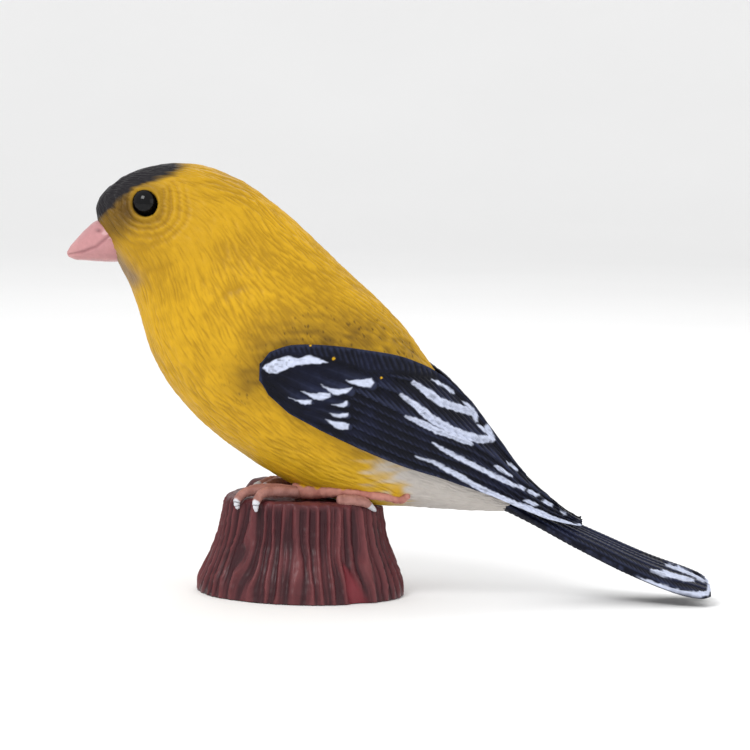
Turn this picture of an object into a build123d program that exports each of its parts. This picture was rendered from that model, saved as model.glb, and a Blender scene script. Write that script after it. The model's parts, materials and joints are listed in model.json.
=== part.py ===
from build123d import *
import math
import os

# Perched songbird decoy with fluttering wings, on a hollow stump that holds the cells.
# Millimetres. Origin at the middle of the stump's foot, on the table. +Z is up, the bird faces -X,
# its left side faces -Y. The body's long axis runs from the head down to the tail.

# ---------------------------------------------------------------- driving dimensions
WALL = 1.8                   # moulded shell thickness
FIT = 0.05                   # radial running clearance of a shaft in its bore
WING_GAP = 1.0               # from the body's skin to the back of a folded wing
WING_THICK = 2.0

# Body stations from the forehead to the vent, each square to the body's long axis:
# dorsal point (x, z), ventral point (x, z), half width.
BODY = [
    ((-55.2, 111.3), (-58.4, 107.5), 2.4),
    ((-51.5, 114.2), (-59.2, 104.9), 4.8),
    ((-45.8, 116.5), (-58.5, 101.4), 8.4),
    ((-38.0, 118.0), (-56.3, 96.3), 11.4),
    ((-28.3, 117.2), (-52.1, 88.9), 13.9),
    ((-18.4, 113.4), (-47.3, 79.0), 15.9),
    ((-9.4, 107.0), (-43.4, 66.5), 18.0),
    ((-0.9, 100.0), (-37.5, 56.4), 20.3),
    ((7.9, 91.9), (-29.4, 47.4), 22.0),
    ((17.0, 84.0), (-20.0, 39.9), 22.8),
    ((25.7, 75.7), (-9.7, 33.5), 22.5),
    ((33.2, 66.1), (1.3, 28.0), 20.8),
    ((40.6, 56.1), (14.7, 25.2), 17.8),
    ((47.6, 47.4), (28.4, 24.5), 14.0),
    ((53.2, 40.0), (39.6, 23.9), 10.4),
    ((57.3, 34.0), (48.6, 23.7), 7.2),
    ((59.7, 29.2), (55.3, 23.9), 4.4),
]
BELLY_FULL = 0.08            # how much wider the ventral half is than the dorsal half

# Drive axes: LONG runs from head to tail along the body, UP is dorsal and square to it.
PITCH_DEG = 40.0
LONG = Vector(math.cos(math.radians(PITCH_DEG)), 0, -math.sin(math.radians(PITCH_DEG)))
UP = Vector(math.sin(math.radians(PITCH_DEG)), 0, math.cos(math.radians(PITCH_DEG)))
DRIVE = Plane(origin=(-11.4, 0, 63.7), x_dir=tuple(LONG), z_dir=tuple(UP))
SHAFT_Y = 15.5               # each wing shaft, from the mid-plane
SHAFT_R = 1.25
MODULE = 1.0
TEETH = 22                   # of the whole wheel that each sector is cut from
PITCH_R = MODULE * TEETH / 2
BACKLASH = 0.16
STROKE = 4.0                 # of the rack
PLATE_LOW, PLATE_HIGH = -8.0, 4.6   # inner faces of the two chassis plates, along UP
PLATE_T = 1.4
POST_X = (-12.0, 11.2)        # along the drive, of the four posts between the plates

# Stump
FOOT_R = 28.9
STUMP_TOP = 27.0
ROOF_IN = 22.4               # underside of the stump's roof
KNOLL = (-11.0, 15.5, 24.0)  # a bulge of bark behind the bird's right foot
KNOLL_R = 6.0
SEAT_LINE = ((-12.0, 0, 29.1), (34.0, 0, 22.1))   # lowest line of the trough under the belly
SEAT_R = 22.0
PLATE_R = 25.6
BASE_Z0, BASE_Z1 = 1.0, 3.4  # base plate
CELL_R, CELL_LEN = 5.8, 5.4  # an LR44 button cell
CELL_Z = 8.8                 # axis of the cell stack
DOOR_HINGE = (-14.0, 2.3)    # x, z of the door's hinge pin
BIRD_SCREWS = (14.0, 6.2)    # x, +-y of the screws from the stump into the belly
WIRE_HOLE = (4.0, 0.0)
BASE_SCREWS = [(15.2, 15.2), (-15.2, 15.2), (0.0, -21.4)]
SWITCH_Y = 16.4
BOARD_Z = 17.4               # underside of the pulse board
BOARD_POSTS = [(-8.5, 0.0), (8.5, 0.0)]

# Screws through the two shells, as (x, z); the first two also clamp the chassis.
SHELL_SCREWS = [(-27.6, 58.4), (19.5, 43.0), (-22.0, 98.0), (42.0, 42.0)]
BOSS_R = 3.2
EYE_C = (-45.1, 8.2, 107.1)
EYE_R = 4.4

parts = {}
os.makedirs("parts", exist_ok=True)


def keep(name, shape):
    """Registers one named piece."""
    parts[name] = shape


def max_piece(shape, lowest=False):
    """The largest solid of a cut shape, or the lowest one."""
    solids = shape.solids()
    if lowest:
        return min(solids, key=lambda s: s.bounding_box().min.Z)
    return max(solids, key=lambda s: s.volume)


def mirror_y(shape):
    """The right-hand twin of a left-hand piece."""
    return mirror(shape, about=Plane.XZ)


def block(x0, x1, y0, y1, z0, z1):
    """A box from its corners."""
    return Pos((x0 + x1) / 2, (y0 + y1) / 2, (z0 + z1) / 2) * Box(x1 - x0, y1 - y0, z1 - z0)


def rod(start, end, radius, end_radius=None):
    """A cylinder, or a cone frustum, between two points."""
    start, end = Vector(*start), Vector(*end)
    axis = end - start
    plane = Plane(origin=tuple(start), z_dir=tuple(axis.normalized()))
    if end_radius is None or abs(end_radius - radius) < 1e-6:
        solid = Cylinder(radius, axis.length, align=(Align.CENTER, Align.CENTER, Align.MIN))
    else:
        solid = Cone(radius, end_radius, axis.length, align=(Align.CENTER, Align.CENTER, Align.MIN))
    return plane.location * solid


def in_drive(shape):
    """Places a piece drawn on the drive axes: x along LONG, y across, z along UP."""
    return DRIVE.location * shape


def curve(points, tangents=None):
    """A spline with evenly spaced knots, so that curves with as many points loft cleanly."""
    even = [k / (len(points) - 1) for k in range(len(points))]
    return Edge.make_spline([Vector(*p) for p in points], parameters=even, scale=False,
                            tangents=tangents and [Vector(*t) for t in tangents])


# ---------------------------------------------------------------- body shells
def blend(first, second, share):
    """A body station part of the way from one to another."""
    mix = lambda p, q: tuple(a + (b - a) * share for a, b in zip(p, q))
    (d0, v0, w0), (d1, v1, w1) = first, second
    return mix(d0, d1), mix(v0, v1), w0 + (w1 - w0) * share


def moved_in(line, index, inset, inward):
    """A point of the back or belly line moved square to that line, into the body."""
    before, after = line[max(index - 1, 0)], line[min(index + 1, len(line) - 1)]
    tx, tz = after[0] - before[0], after[1] - before[1]
    step = inward * inset / math.hypot(tx, tz)
    return line[index][0] + tz * step, line[index][1] - tx * step


def inner_stations(inset):
    """The body's stations with the skin moved in, stopping short of both blunt ends."""
    backs, bellies = [s[0] for s in BODY], [s[1] for s in BODY]
    inner = [(moved_in(backs, i, inset, 1), moved_in(bellies, i, inset, -1), s[2] - inset)
             for i, s in enumerate(BODY)]
    return [blend(inner[0], inner[1], 0.45)] + inner[1:-1] + [blend(inner[-2], inner[-1], 0.4)]


def rim_point(station, degrees, side):
    """A point of the body's cross-section: 0 degrees is dorsal, 180 is ventral."""
    (dx, dz), (vx, vz), width = station
    cx, cz = (dx + vx) / 2, (dz + vz) / 2
    turn = math.radians(degrees)
    rise = math.cos(turn)
    across = width * math.sin(turn) * (1 - BELLY_FULL * rise)
    return cx + (dx - cx) * rise, side * across, cz + (dz - cz) * rise


def half_ring(station, past=0.0):
    """The left half of a cross-section, closed on the mid-plane or a little past it."""
    points = [rim_point(station, a, -1) for a in range(0, 181, 30)]
    top, low = points[0], points[-1]
    pull = math.pi * station[2]
    skin = curve(points, tangents=[(0, -pull * (1 - BELLY_FULL), 0), (0, pull * (1 + BELLY_FULL), 0)])
    if not past:
        return Wire([skin, Line(low, top)])
    top_out, low_out = (top[0], past, top[2]), (low[0], past, low[2])
    return Wire([skin, Line(low, low_out), Line(low_out, top_out), Line(top_out, top)])


def both_halves(sections):
    """A smooth solid through sections of the side view, the same on both sides."""
    half = Solid.make_loft([half_ring(s) for s in sections])
    return half + mirror(half, about=Plane.XZ)


def half_width(x, z):
    """Half width of the body's skin at a point of the side view; 0 outside it."""
    steps = 12
    best = (1e9, 0.0)
    for i in range(len(BODY) - 1):
        for j in range(steps):
            (dx, dz), (vx, vz), width = blend(BODY[i], BODY[i + 1], j / steps)
            length = math.hypot(dx - vx, dz - vz)
            ex, ez = (dx - vx) / length, (dz - vz) / length
            along = (x - vx) * ex + (z - vz) * ez
            off = abs((x - vx) * ez - (z - vz) * ex)
            rise = 2 * along / length - 1
            if abs(rise) < 1 and off < best[0]:
                side = width * math.sqrt(1 - rise * rise) * (1 - BELLY_FULL * rise)
                best = (off, side)
    return best[1] if best[0] < 2.5 else 0.0


def body_profile(x, low, high):
    """The skin across the body at one station, as (y, z) samples half a millimetre apart."""
    count = int((high - low) / 0.5) + 1
    heights = [low + 0.5 * k for k in range(count)]
    samples = [(half_width(x, z), z) for z in heights]
    return [(y, z) for y, z in samples if y > 0]


def clear_of(profile, z, gap):
    """How far out a point at height z must be to stay the gap away from the skin."""
    reach = [y + math.sqrt(gap * gap - (z - pz) ** 2) for y, pz in profile if abs(z - pz) < gap]
    return max(reach, default=0.0)


def build_beak():
    """Conical seed-eater's beak with its root bedded in the face: top, bottom (x, z), half width."""
    sections = [
        ((-55.2, 102.2), (-49.6, 91.4), 6.2),
        ((-59.0, 101.5), (-53.0, 90.3), 6.2),
        ((-61.8, 99.3), (-57.5, 90.2), 5.0),
        ((-64.2, 96.6), (-61.5, 90.4), 3.5),
        ((-66.0, 94.4), (-64.6, 90.5), 2.1),
        ((-66.9, 92.7), (-66.5, 91.3), 0.9),
    ]
    return both_halves(sections)


def build_tail():
    """Roofed tail: x, ridge height, edge drop, thickness, half width."""
    sections = [
        (50.5, 30.2, 1.6, 3.4, 3.2),
        (57.0, 28.4, 2.2, 3.6, 4.6),
        (64.0, 25.8, 3.2, 3.6, 6.6),
        (76.0, 21.0, 4.8, 3.4, 8.6),
        (90.0, 15.2, 5.6, 3.2, 10.0),
        (104.0, 10.1, 5.8, 2.8, 11.0),
        (111.5, 7.2, 4.2, 2.4, 10.4),
        (113.8, 5.6, 2.4, 1.4, 8.6),
    ]
    wires = []
    for x, ridge, drop, thick, half in sections:
        points = [
            (x, 0, ridge),
            (x, 0.55 * half, ridge - 0.35 * drop),
            (x, half, ridge - drop - 0.3 * thick),
            (x, 0.55 * half, ridge - 0.35 * drop - thick),
            (x, 0, ridge - thick),
        ]
        mirrored = [(px, -py, pz) for px, py, pz in points[-2:0:-1]]
        wires.append(Wire(Spline(*points, *mirrored, periodic=True)))
    notch = Plane.XY * make_face(Polyline((108.5, 0), (120, 5), (120, -5), close=True))
    return Solid.make_loft(wires) - extrude(notch, 40)


def build_eye(side):
    """Glossy bead on a short stem. side is -1 for the left."""
    x, y, z = EYE_C
    bead = Pos(x, side * y, z) * Sphere(EYE_R)
    return bead + rod((x, side * (y - 1), z), (x, side * (y - 6.2), z), 1.2)


def build_tarsus(side):
    """Bare lower leg folded flat along the belly, with its heel knob."""
    y = side * 10.4
    toe_end, heel = (-1.6, y, 28.9), (26.6, side * 9.2, 28.4)
    leg = rod(toe_end, heel, 1.9, 1.15)
    leg += Pos(*toe_end) * Sphere(1.9)
    leg += rod(heel, (29.4, side * 9.6, 29.0), 1.15, 1.5) + Pos(29.4, side * 9.6, 29.0) * Sphere(1.5)
    return leg & block(-2.2, 40, -20, 20, 20, 40)


# Toes as (x, y outwards, z) from the knuckle to the claw. The left ones drape over the rim.
TOES = {
    -1: [
        [(-14.4, 8.6, 27.95)],
        [(-15.2, 13.0, 28.9), (-17.7, 15.1, 26.6), (-17.4, 14.8, 24.2)],
        [(-10.7, 16.9, 28.9), (-12.4, 19.7, 26.6), (-12.2, 19.4, 24.2)],
    ],
    1: [
        [(-14.2, 9.4, 27.95)],
        [(-12.4, 3.4, 27.95)],
        [(-2.6, 18.6, 27.95)],
    ],
}
ANKLE = (-3.4, 10.6, 28.95)
HIND_TOE = [(12.6, 14.2, 28.6), (19.2, 13.2, 27.9), (21.5, 9.0, 24.9)]


def toe(points, side, radii):
    """A chain of tapering joints through the points, each started a little inside the last."""
    at = [Vector(x, side * y, z) for x, y, z in points]
    solid = rod(tuple(at[0]), tuple(at[1]), radii[0], radii[1])
    for k in range(1, len(at) - 1):
        back = at[k] - (at[k + 1] - at[k]).normalized() * 0.55
        solid += rod(tuple(back), tuple(at[k + 1]), radii[k] + 0.3, radii[k + 1])
    return solid


def build_foot(side):
    """Three front toes that join at the ankle, and a hind toe that comes out under the shank."""
    x, y, z = ANKLE
    foot = Pos(x - 0.55, side * y, z) * Box(3.4, 3.7, 3.5)
    for points in TOES[side]:
        radii = [1.45, 1.1, 0.95, 0.7][: len(points)] + [0.7]
        foot += toe([ANKLE] + points, side, radii)
    foot -= block(-2.25, 5, side * y - 5, side * y + 5, z - 5, z + 5)
    return [foot, toe(HIND_TOE, side, [1.3, 1.0, 0.7])]


def build_shell(outer_left, cutters):
    """The left body shell with every cut that the right one shares."""
    x, y = BIRD_SCREWS
    hollow = Solid.make_loft([half_ring(s, past=2.0) for s in inner_stations(WALL)])
    for boss_x, boss_z in SHELL_SCREWS:
        hollow -= rod((boss_x, -30, boss_z), (boss_x, 0, boss_z), BOSS_R)
    hollow -= rod((x, -y, 20), (x, -y, 33.5), BOSS_R)
    shell = outer_left - hollow
    for cutter in cutters:
        shell -= cutter
    shell -= rod((x, -y, 20), (x, -y, 31.5), 1.1)
    shell -= rod((*WIRE_HOLE, 20), (*WIRE_HOLE, 36), 2.0)
    shell -= in_drive(block(3.5, 15.5, -33, -17, -3.6, 3.6))    # window for the wing's tongue
    shell -= in_drive(block(6.6, 13.0, -33, -17, 0, 4.8))       # room over its screw's head
    for boss_x, boss_z in SHELL_SCREWS[:2]:
        shell -= rod((boss_x, -1.6, boss_z), (boss_x, 1.6, boss_z), BOSS_R + 1.4)
    return max_piece(shell)


# ---------------------------------------------------------------- wings
# Stations from the shoulder to the tip: x, lower edge z, upper edge z, and the least offset of each
# edge from the mid-plane, which only matters where the body no longer carries the wing.
WING = [
    (-12.3, 60.6, 65.2, 0, 0),
    (-9.6, 56.6, 68.4, 0, 0),
    (-4.0, 51.8, 70.4, 0, 0),
    (5.0, 47.2, 70.6, 0, 0),
    (16.0, 42.2, 69.4, 0, 0),
    (27.0, 37.8, 67.2, 0, 6.0),
    (37.0, 34.6, 62.2, 0, 3.4),
    (46.0, 31.4, 54.0, 12.0, 2.6),
    (53.0, 28.8, 45.2, 11.0, 2.4),
    (60.0, 25.8, 36.0, 9.4, 2.2),
    (68.0, 22.8, 28.4, 7.6, 2.2),
    (77.6, 20.9, 22.3, 5.2, 2.8),
]


def wing_section(x, low, high, free_low, free_high):
    """Outer and inner curves of the wing across one station, as (y, z) lists for the left wing."""
    profile = body_profile(x, low - 4, high + 4)
    thick = WING_THICK if x < 55 else 0.8 * WING_THICK
    outer, inner = [], []
    steps = 5
    for k in range(steps + 1):
        share = k / steps
        z = low + (high - low) * share
        free = free_high + (free_low - free_high) * math.cos(share * math.pi / 2)
        edge = 0.25 if k in (0, steps) else 0.0
        outer.append((-max(clear_of(profile, z, WING_GAP + thick - edge), free), z))
        inner.append((-max(clear_of(profile, z, WING_GAP + edge), free - thick), z))
    return outer, inner


def build_wing():
    """The left wing moulding: a curved plate with a tongue that reaches in to its hub."""
    wires = []
    for station in WING:
        x = station[0]
        outer, inner = wing_section(*station)
        rim_low = Line((x, *inner[0]), (x, *outer[0]))
        rim_high = Line((x, *outer[-1]), (x, *inner[-1]))
        face = curve([(x, y, z) for y, z in outer])
        back = curve([(x, y, z) for y, z in reversed(inner)])
        wires.append(Wire([rim_low, face, rim_high, back]))
    plate = Solid.make_loft(wires)
    tongue = in_drive(block(7.5, 12.5, -25.0, -13.6, -1.2, 1.2))
    hole = in_drive(rod((10, -SHAFT_Y - 0.8, -3), (10, -SHAFT_Y - 0.8, 3), 1.0))
    return plate, tongue, hole


# ---------------------------------------------------------------- wing drive
def involute(angle):
    return math.tan(angle) - angle


def sector_tooth(centre_deg):
    """One involute tooth of the sector as a polygon about the origin, z from -2 to 2."""
    press = math.radians(20)
    base_r, tip_r, root_r = PITCH_R * math.cos(press), PITCH_R + MODULE, PITCH_R - 1.25 * MODULE
    half = math.pi / (2 * TEETH) - BACKLASH / (2 * PITCH_R)
    radii = [root_r - 0.3, base_r, *[base_r + (tip_r - base_r) * k / 5 for k in range(1, 6)]]
    flank = []
    for r in radii:
        angle = math.acos(min(1.0, base_r / r))
        flank.append((r, half + involute(press) - involute(angle)))
    centre = math.radians(centre_deg)
    left = [(r * math.cos(centre + t), r * math.sin(centre + t)) for r, t in flank]
    right = [(r * math.cos(centre - t), r * math.sin(centre - t)) for r, t in reversed(flank)]
    return extrude(make_face(Polyline(*left, *right, close=True)), 2.0, both=True)


def build_hub():
    """Left wing hub: a long bearing sleeve, a geared sector and the fork that holds the wing."""
    step = 360 / TEETH
    hub = Pos(0, 0, (PLATE_LOW + PLATE_HIGH) / 2) * Cylinder(3.0, PLATE_HIGH - PLATE_LOW - 0.4)
    root_r = PITCH_R - 1.25 * MODULE
    arc = [math.radians(a) for a in range(90 - 24, 90 + 58, 6)]
    web = Polyline((0, 0), *[(root_r * math.cos(a), root_r * math.sin(a)) for a in arc], close=True)
    hub += extrude(make_face(web), 2.0, both=True)
    for k in range(-1, 4):
        hub += sector_tooth(90 + step * k)
    hub += block(0, 13, -2.9, 1.4, -3, 3)
    hub -= block(6.5, 14, -4, 3, -1.25, 1.25)
    hub -= Cylinder(SHAFT_R + FIT, 40)
    hub -= rod((10, -0.8, -3), (10, -0.8, 3), 1.0)
    return in_drive(Pos(0, -SHAFT_Y, 0) * hub)


def build_rack():
    """Two-sided rack that both sectors mesh with, keyed on the chassis rib."""
    gap_half = math.pi * MODULE / 4 - BACKLASH / 2
    core = PITCH_R - MODULE * 1.25
    edge = SHAFT_Y - PITCH_R           # pitch line, from the mid-plane
    inner, tip = edge - 1.25 * MODULE, edge + MODULE
    slope = math.tan(math.radians(20))
    rack = block(-10, 6.4, -inner, inner, -2.5, 2.5)
    for k in range(-3, 3):
        centre = (k + 0.5) * math.pi * MODULE
        if centre > 5:
            continue
        wide, narrow = gap_half + 1.25 * slope, gap_half - 1.0 * slope
        tooth = Polyline((centre - wide, inner - 0.3), (centre - narrow, tip),
                         (centre + narrow, tip), (centre + wide, inner - 0.3), close=True)
        solid = extrude(make_face(tooth), 2.4, both=True)
        rack += solid
        rack += mirror(solid, about=Plane.XZ)
    rack -= block(-11, 7, -1.15, 1.15, -2.6, -1.3)
    rack -= rod((1.6, 0, 0.4), (7, 0, 0.4), 1.4)
    rack -= rod((3.6, -8, 0.4), (3.6, 8, 0.4), 0.5)
    return in_drive(rack)


def build_chassis():
    """Lower plate with pedestal, rib, stop and tabs; upper plate; the posts stay with the lower."""
    inside = both_halves(inner_stations(WALL + 0.5))
    low = block(-14, 34, -8, 8, PLATE_LOW - PLATE_T, PLATE_LOW)
    low += block(-4.5, 4.5, -18.2, 18.2, PLATE_LOW - PLATE_T, PLATE_LOW)
    low += block(33, 40, -3, 3, PLATE_LOW - PLATE_T, PLATE_LOW)
    low += block(-10, 6, -2.9, 2.9, PLATE_LOW, -2.7)
    low += block(-10, 6, -1.0, 1.0, -2.7, -1.6)
    low += block(-13.4, -10.4, -3.5, 3.5, PLATE_LOW, 1.5)
    for x in POST_X:
        for y in (-6.4, 6.4):
            low += rod((x, y, PLATE_LOW), (x, y, PLATE_HIGH), 1.4)
    high = block(-13.8, 12.8, -8, 8, PLATE_HIGH, PLATE_HIGH + PLATE_T)
    high += block(-4.5, 4.5, -18.2, 18.2, PLATE_HIGH, PLATE_HIGH + PLATE_T)
    high -= block(-8, 6, -4.5, 4.5, PLATE_HIGH - 1, PLATE_HIGH + 3)
    for x in POST_X:
        for y in (-6.4, 6.4):
            high -= rod((x, y, PLATE_HIGH - 1), (x, y, PLATE_HIGH + 3), 0.9)
            low -= rod((x, y, PLATE_HIGH - 6), (x, y, PLATE_HIGH), 0.7)
    for y in (-SHAFT_Y, SHAFT_Y):
        low -= rod((0, y, -20), (0, y, 20), SHAFT_R)
        high -= rod((0, y, -20), (0, y, 20), SHAFT_R)
    low, high = in_drive(low) & inside, in_drive(high) & inside
    low -= rod((*WIRE_HOLE, 20), (*WIRE_HOLE, 47), 1.7)
    for x, z in SHELL_SCREWS[:2]:
        local = DRIVE.to_local_coords(Vector(x, 0, z))
        foot = block(local.X - 3, local.X + 3, -1.5, 1.5,
                     min(local.Z - 3, PLATE_LOW - PLATE_T), max(local.Z + 3, PLATE_LOW - PLATE_T))
        low += in_drive(foot)
        low -= rod((x, -5, z), (x, 5, z), 1.2)
    return low, high


def build_spring(radius, wire, length, turns):
    """A compression spring along +Z from the origin."""
    pitch = (length - wire) / turns
    path = Helix(pitch=pitch, height=pitch * turns, radius=radius)
    start = path @ 0
    section = Plane(origin=tuple(start), z_dir=tuple(path % 0)) * Circle(wire / 2)
    return Pos(0, 0, wire / 2) * sweep(section, path=path, is_frenet=True)


def build_solenoid():
    """Pull solenoid on the drive axis: yoke with core, bobbin, winding and plunger."""
    axis = 0.4
    yoke = block(13, 14.5, -6.5, 6.5, PLATE_LOW, 6.9) + block(31.4, 32.9, -6.5, 6.5, PLATE_LOW, 6.9)
    yoke += block(13, 32.9, -6.5, 6.5, PLATE_LOW, PLATE_LOW + 1.4)
    yoke -= rod((12, 0, axis), (15, 0, axis), 3.1)
    yoke += rod((28.6, 0, axis), (31.5, 0, axis), 2.8)
    bobbin = rod((14.5, 0, axis), (31.4, 0, axis), 3.8)
    bobbin += rod((14.5, 0, axis), (15.5, 0, axis), 6.2) + rod((30.4, 0, axis), (31.4, 0, axis), 6.2)
    bobbin -= rod((14, 0, axis), (32, 0, axis), 3.0)
    winding = rod((15.5, 0, axis), (30.4, 0, axis), 5.9) - rod((15, 0, axis), (31, 0, axis), 3.8)
    plunger = rod((6.4, 0, axis), (24.0, 0, axis), 2.8) + rod((1.7, 0, axis), (6.4, 0, axis), 1.4)
    plunger -= rod((3.6, -4, axis), (3.6, 4, axis), 0.5)
    pin = rod((3.6, -3.1, axis), (3.6, 3.1, axis), 0.5)
    turn = Pos(6.5, 0, axis) * Rot(0, 90, 0)
    spring = turn * build_spring(3.6, 0.6, 6.4, 4)
    return [in_drive(s) for s in (yoke, bobbin, winding, plunger, pin, spring)]


def screw(tip, seat, radius, head_r, head_h):
    """A pan-head screw from its tip to the seat of its head, with a straight driver slot."""
    tip, seat = Vector(*tip), Vector(*seat)
    axis = (seat - tip).normalized()
    top = seat + axis * head_h
    body = rod(tuple(tip), tuple(seat), radius) + rod(tuple(seat), tuple(top), head_r)
    plane = Plane(origin=tuple(top), z_dir=tuple(axis))
    return body - plane.location * Box(head_r * 1.5, 0.5, head_h * 0.9)


# ---------------------------------------------------------------- stump
def stump_profile(inset, floor, roof):
    """Half profile of the stump's barrel, inset from its bark."""
    points = [(FOOT_R, floor), (28.0, 4.0), (25.6, 9.6), (23.5, 15.2), (22.6, 20.0)]
    skin = [(r - inset, z) for r, z in points]
    side = Spline(*skin, (21.6 - inset, roof - 1.6) if not inset else (21.4 - inset, roof))
    end = side @ 1
    if inset:
        return make_face([side, Line(end, (0, roof)), Line((0, roof), (0, floor)),
                          Line((0, floor), skin[0])])
    crown = Spline(end, (20.2, roof), (17.0, roof - 0.4), (0, roof - 1.0),
                   tangents=[side % 1, (-1, 0)])
    return make_face([side, crown, Line((0, roof - 1.0), (0, floor)), Line((0, floor), skin[0])])


def build_stump():
    """Hollow bark-clad stump with a trough in its top where the belly rests."""
    spin = lambda face: revolve(Plane.XZ * face, Axis.Z)
    barrel = spin(stump_profile(0.0, 0.0, STUMP_TOP)) + Pos(*KNOLL) * Sphere(KNOLL_R)
    barrel &= block(-40, 40, -40, 40, 0, 40)
    cavity = spin(stump_profile(3.0, -1.0, ROOF_IN))
    for x, y in BASE_SCREWS:
        cavity -= rod((x, y, BASE_Z1), (x, y, 30), 3.0)
    cavity += Pos(0, 0, (BASE_Z1 - 1) / 2) * Cylinder(PLATE_R + 0.3, BASE_Z1 + 1)
    stump = barrel - cavity
    for x, y in BASE_SCREWS:
        stump -= rod((x, y, BASE_Z1 - 1), (x, y, 13), 0.9)
    for side in (-1, 1):
        x, y = BIRD_SCREWS
        stump -= rod((x, side * y, 20), (x, side * y, 40), 1.4)
    low, high = Vector(*SEAT_LINE[0]), Vector(*SEAT_LINE[1])
    rise = (high - low).normalized().cross(Vector(0, 1, 0)) * SEAT_R
    stump -= rod(tuple(low + rise), tuple(high + rise), SEAT_R)
    return max_piece(stump - rod((*WIRE_HOLE, 15), (*WIRE_HOLE, 40), 2.0))


def build_base():
    """Base plate with the cell trough, door rebate, hinge ears, switch slot and board posts."""
    x0, z0 = DOOR_HINGE
    plate = Pos(0, 0, (BASE_Z0 + BASE_Z1) / 2) * Cylinder(PLATE_R, BASE_Z1 - BASE_Z0)
    plate += block(-12.6, 12.6, -7.8, 7.8, BASE_Z1, 16.2)
    for x, y in BOARD_POSTS:
        plate += rod((x, y, 16.0), (x, y, BOARD_Z), 2.0)
        plate -= rod((x, y, 16.3), (x, y, BOARD_Z), 0.8)
    plate -= block(-11, 11, -6.2, 6.2, 0, 15.0)
    plate -= block(-12.8, 14.2, -7.4, 7.4, 0, 2.8)
    plate -= block(x0 - 1.7, -12.5, -4.3, 4.3, 0, 4.2)
    plate -= rod((x0, -7.5, z0), (x0, 7.5, z0), 0.6)
    plate -= block(12, 17.6, -3.2, 3.2, 0, 1.9)
    plate -= block(-5.4, 5.4, SWITCH_Y - 2.6, SWITCH_Y + 2.6, 0, 2.2)
    plate -= block(-3.0, 3.0, SWITCH_Y - 1.4, SWITCH_Y + 1.4, 0, 5)
    for x, y in BASE_SCREWS:
        plate -= rod((x, y, 0), (x, y, 5), 1.3)
        plate -= rod((x, y, 0), (x, y, 2.2), 2.3)
    return plate


def build_door():
    """Cell door that swings down on its pin, with a thumb lip at the free end."""
    x0, z0 = DOOR_HINGE
    door = block(-12.0, 14.0, -7.2, 7.2, BASE_Z0, 2.6)
    door += block(x0, -11.5, -4.0, 4.0, BASE_Z0, 2.6)
    door += rod((x0, -4.0, z0), (x0, 4.0, z0), 1.3)
    door -= rod((x0, -5.0, z0), (x0, 5.0, z0), 0.6 + FIT)
    door += block(13.5, 15.6, -2.8, 2.8, BASE_Z0, 1.8)
    for k in range(4):
        door -= block(9.0 + 1.3 * k, 9.6 + 1.3 * k, -3.0, 3.0, 0, BASE_Z0 + 0.35)
    return door


def build_switch():
    """Slide switch: the can on the base plate, and its knob in the slot."""
    can = block(-5.0, 5.0, SWITCH_Y - 2.4, SWITCH_Y + 2.4, BASE_Z1, 7.4)
    can -= block(-3.0, 3.0, SWITCH_Y - 1.4, SWITCH_Y + 1.4, BASE_Z1 - 1, 6.4)
    knob = block(-2.2, 0.2, SWITCH_Y - 1.2, SWITCH_Y + 1.2, 1.3, 6.2)
    for k in range(2):
        knob -= block(-1.7 + 0.9 * k, -1.3 + 0.9 * k, SWITCH_Y - 2, SWITCH_Y + 2, 1.0, 1.6)
    return can, knob


def build_cells():
    """Three button cells in a row, with a coil contact at one end and a leaf at the other."""
    cells, x = [], -6.9
    for _ in range(3):
        cell = rod((x, 0, CELL_Z), (x + 4.6, 0, CELL_Z), CELL_R)
        cell += rod((x + 4.6, 0, CELL_Z), (x + CELL_LEN, 0, CELL_Z), CELL_R - 0.9)
        cells.append(cell)
        x += CELL_LEN
    coil = Pos(-10.6, 0, CELL_Z) * Rot(0, 90, 0) * build_spring(2.6, 0.5, 3.6, 3)
    leaf = block(9.35, 9.75, -4.0, 4.0, 5.0, 14.0) + block(9.75, 11.0, -4.0, 4.0, 13.6, 14.0)
    plate = block(-11.0, -10.6, -4.0, 4.0, 5.0, 14.0)
    return cells, coil, leaf, plate


def build_board():
    """Pulse board with its two screws and parts."""
    board = block(-13, 13, -8, 8, BOARD_Z, BOARD_Z + 1.0)
    screws = []
    for x, y in BOARD_POSTS:
        board -= rod((x, y, BOARD_Z - 1), (x, y, BOARD_Z + 2), 1.1)
        screws.append(screw((x, y, 16.4), (x, y, BOARD_Z + 1.0), 0.8, 1.7, 1.0))
    board -= rod((*WIRE_HOLE, 10), (*WIRE_HOLE, 25), 1.6)
    top = BOARD_Z + 1.0
    chip = block(-4.5, 0.5, 2.0, 6.0, top + 0.2, top + 1.8)
    for k in range(4):
        for y0, y1 in ((1.2, 2.0), (6.0, 6.8)):
            chip += block(-4.1 + 1.2 * k, -3.6 + 1.2 * k, y0, y1, top, top + 0.6)
    can = rod((-5.0, -4.6, top + 1.6), (3.0, -4.6, top + 1.6), 1.6)
    return board, screws, chip, can


def build_leads(winding):
    """Two insulated leads from the board straight up through the belly to the winding."""
    x = WIRE_HOLE[0]
    leads = [rod((x, y, BOARD_Z + 0.2), (x, y, 47), 0.5) - winding for y in (-0.8, 0.8)]
    return [max_piece(lead, lowest=True) for lead in leads]


# ---------------------------------------------------------------- assembly
outer_left = Solid.make_loft([half_ring(s) for s in BODY])
beak = build_beak()
tail = build_tail()
eyes = {side: build_eye(side) for side in (-1, 1)}
stump = build_stump()
tarsi = {side: build_tarsus(side) for side in (-1, 1)}
feet = {side: Compound(children=build_foot(side)) for side in (-1, 1)}
chassis_low, chassis_high = build_chassis()

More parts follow.
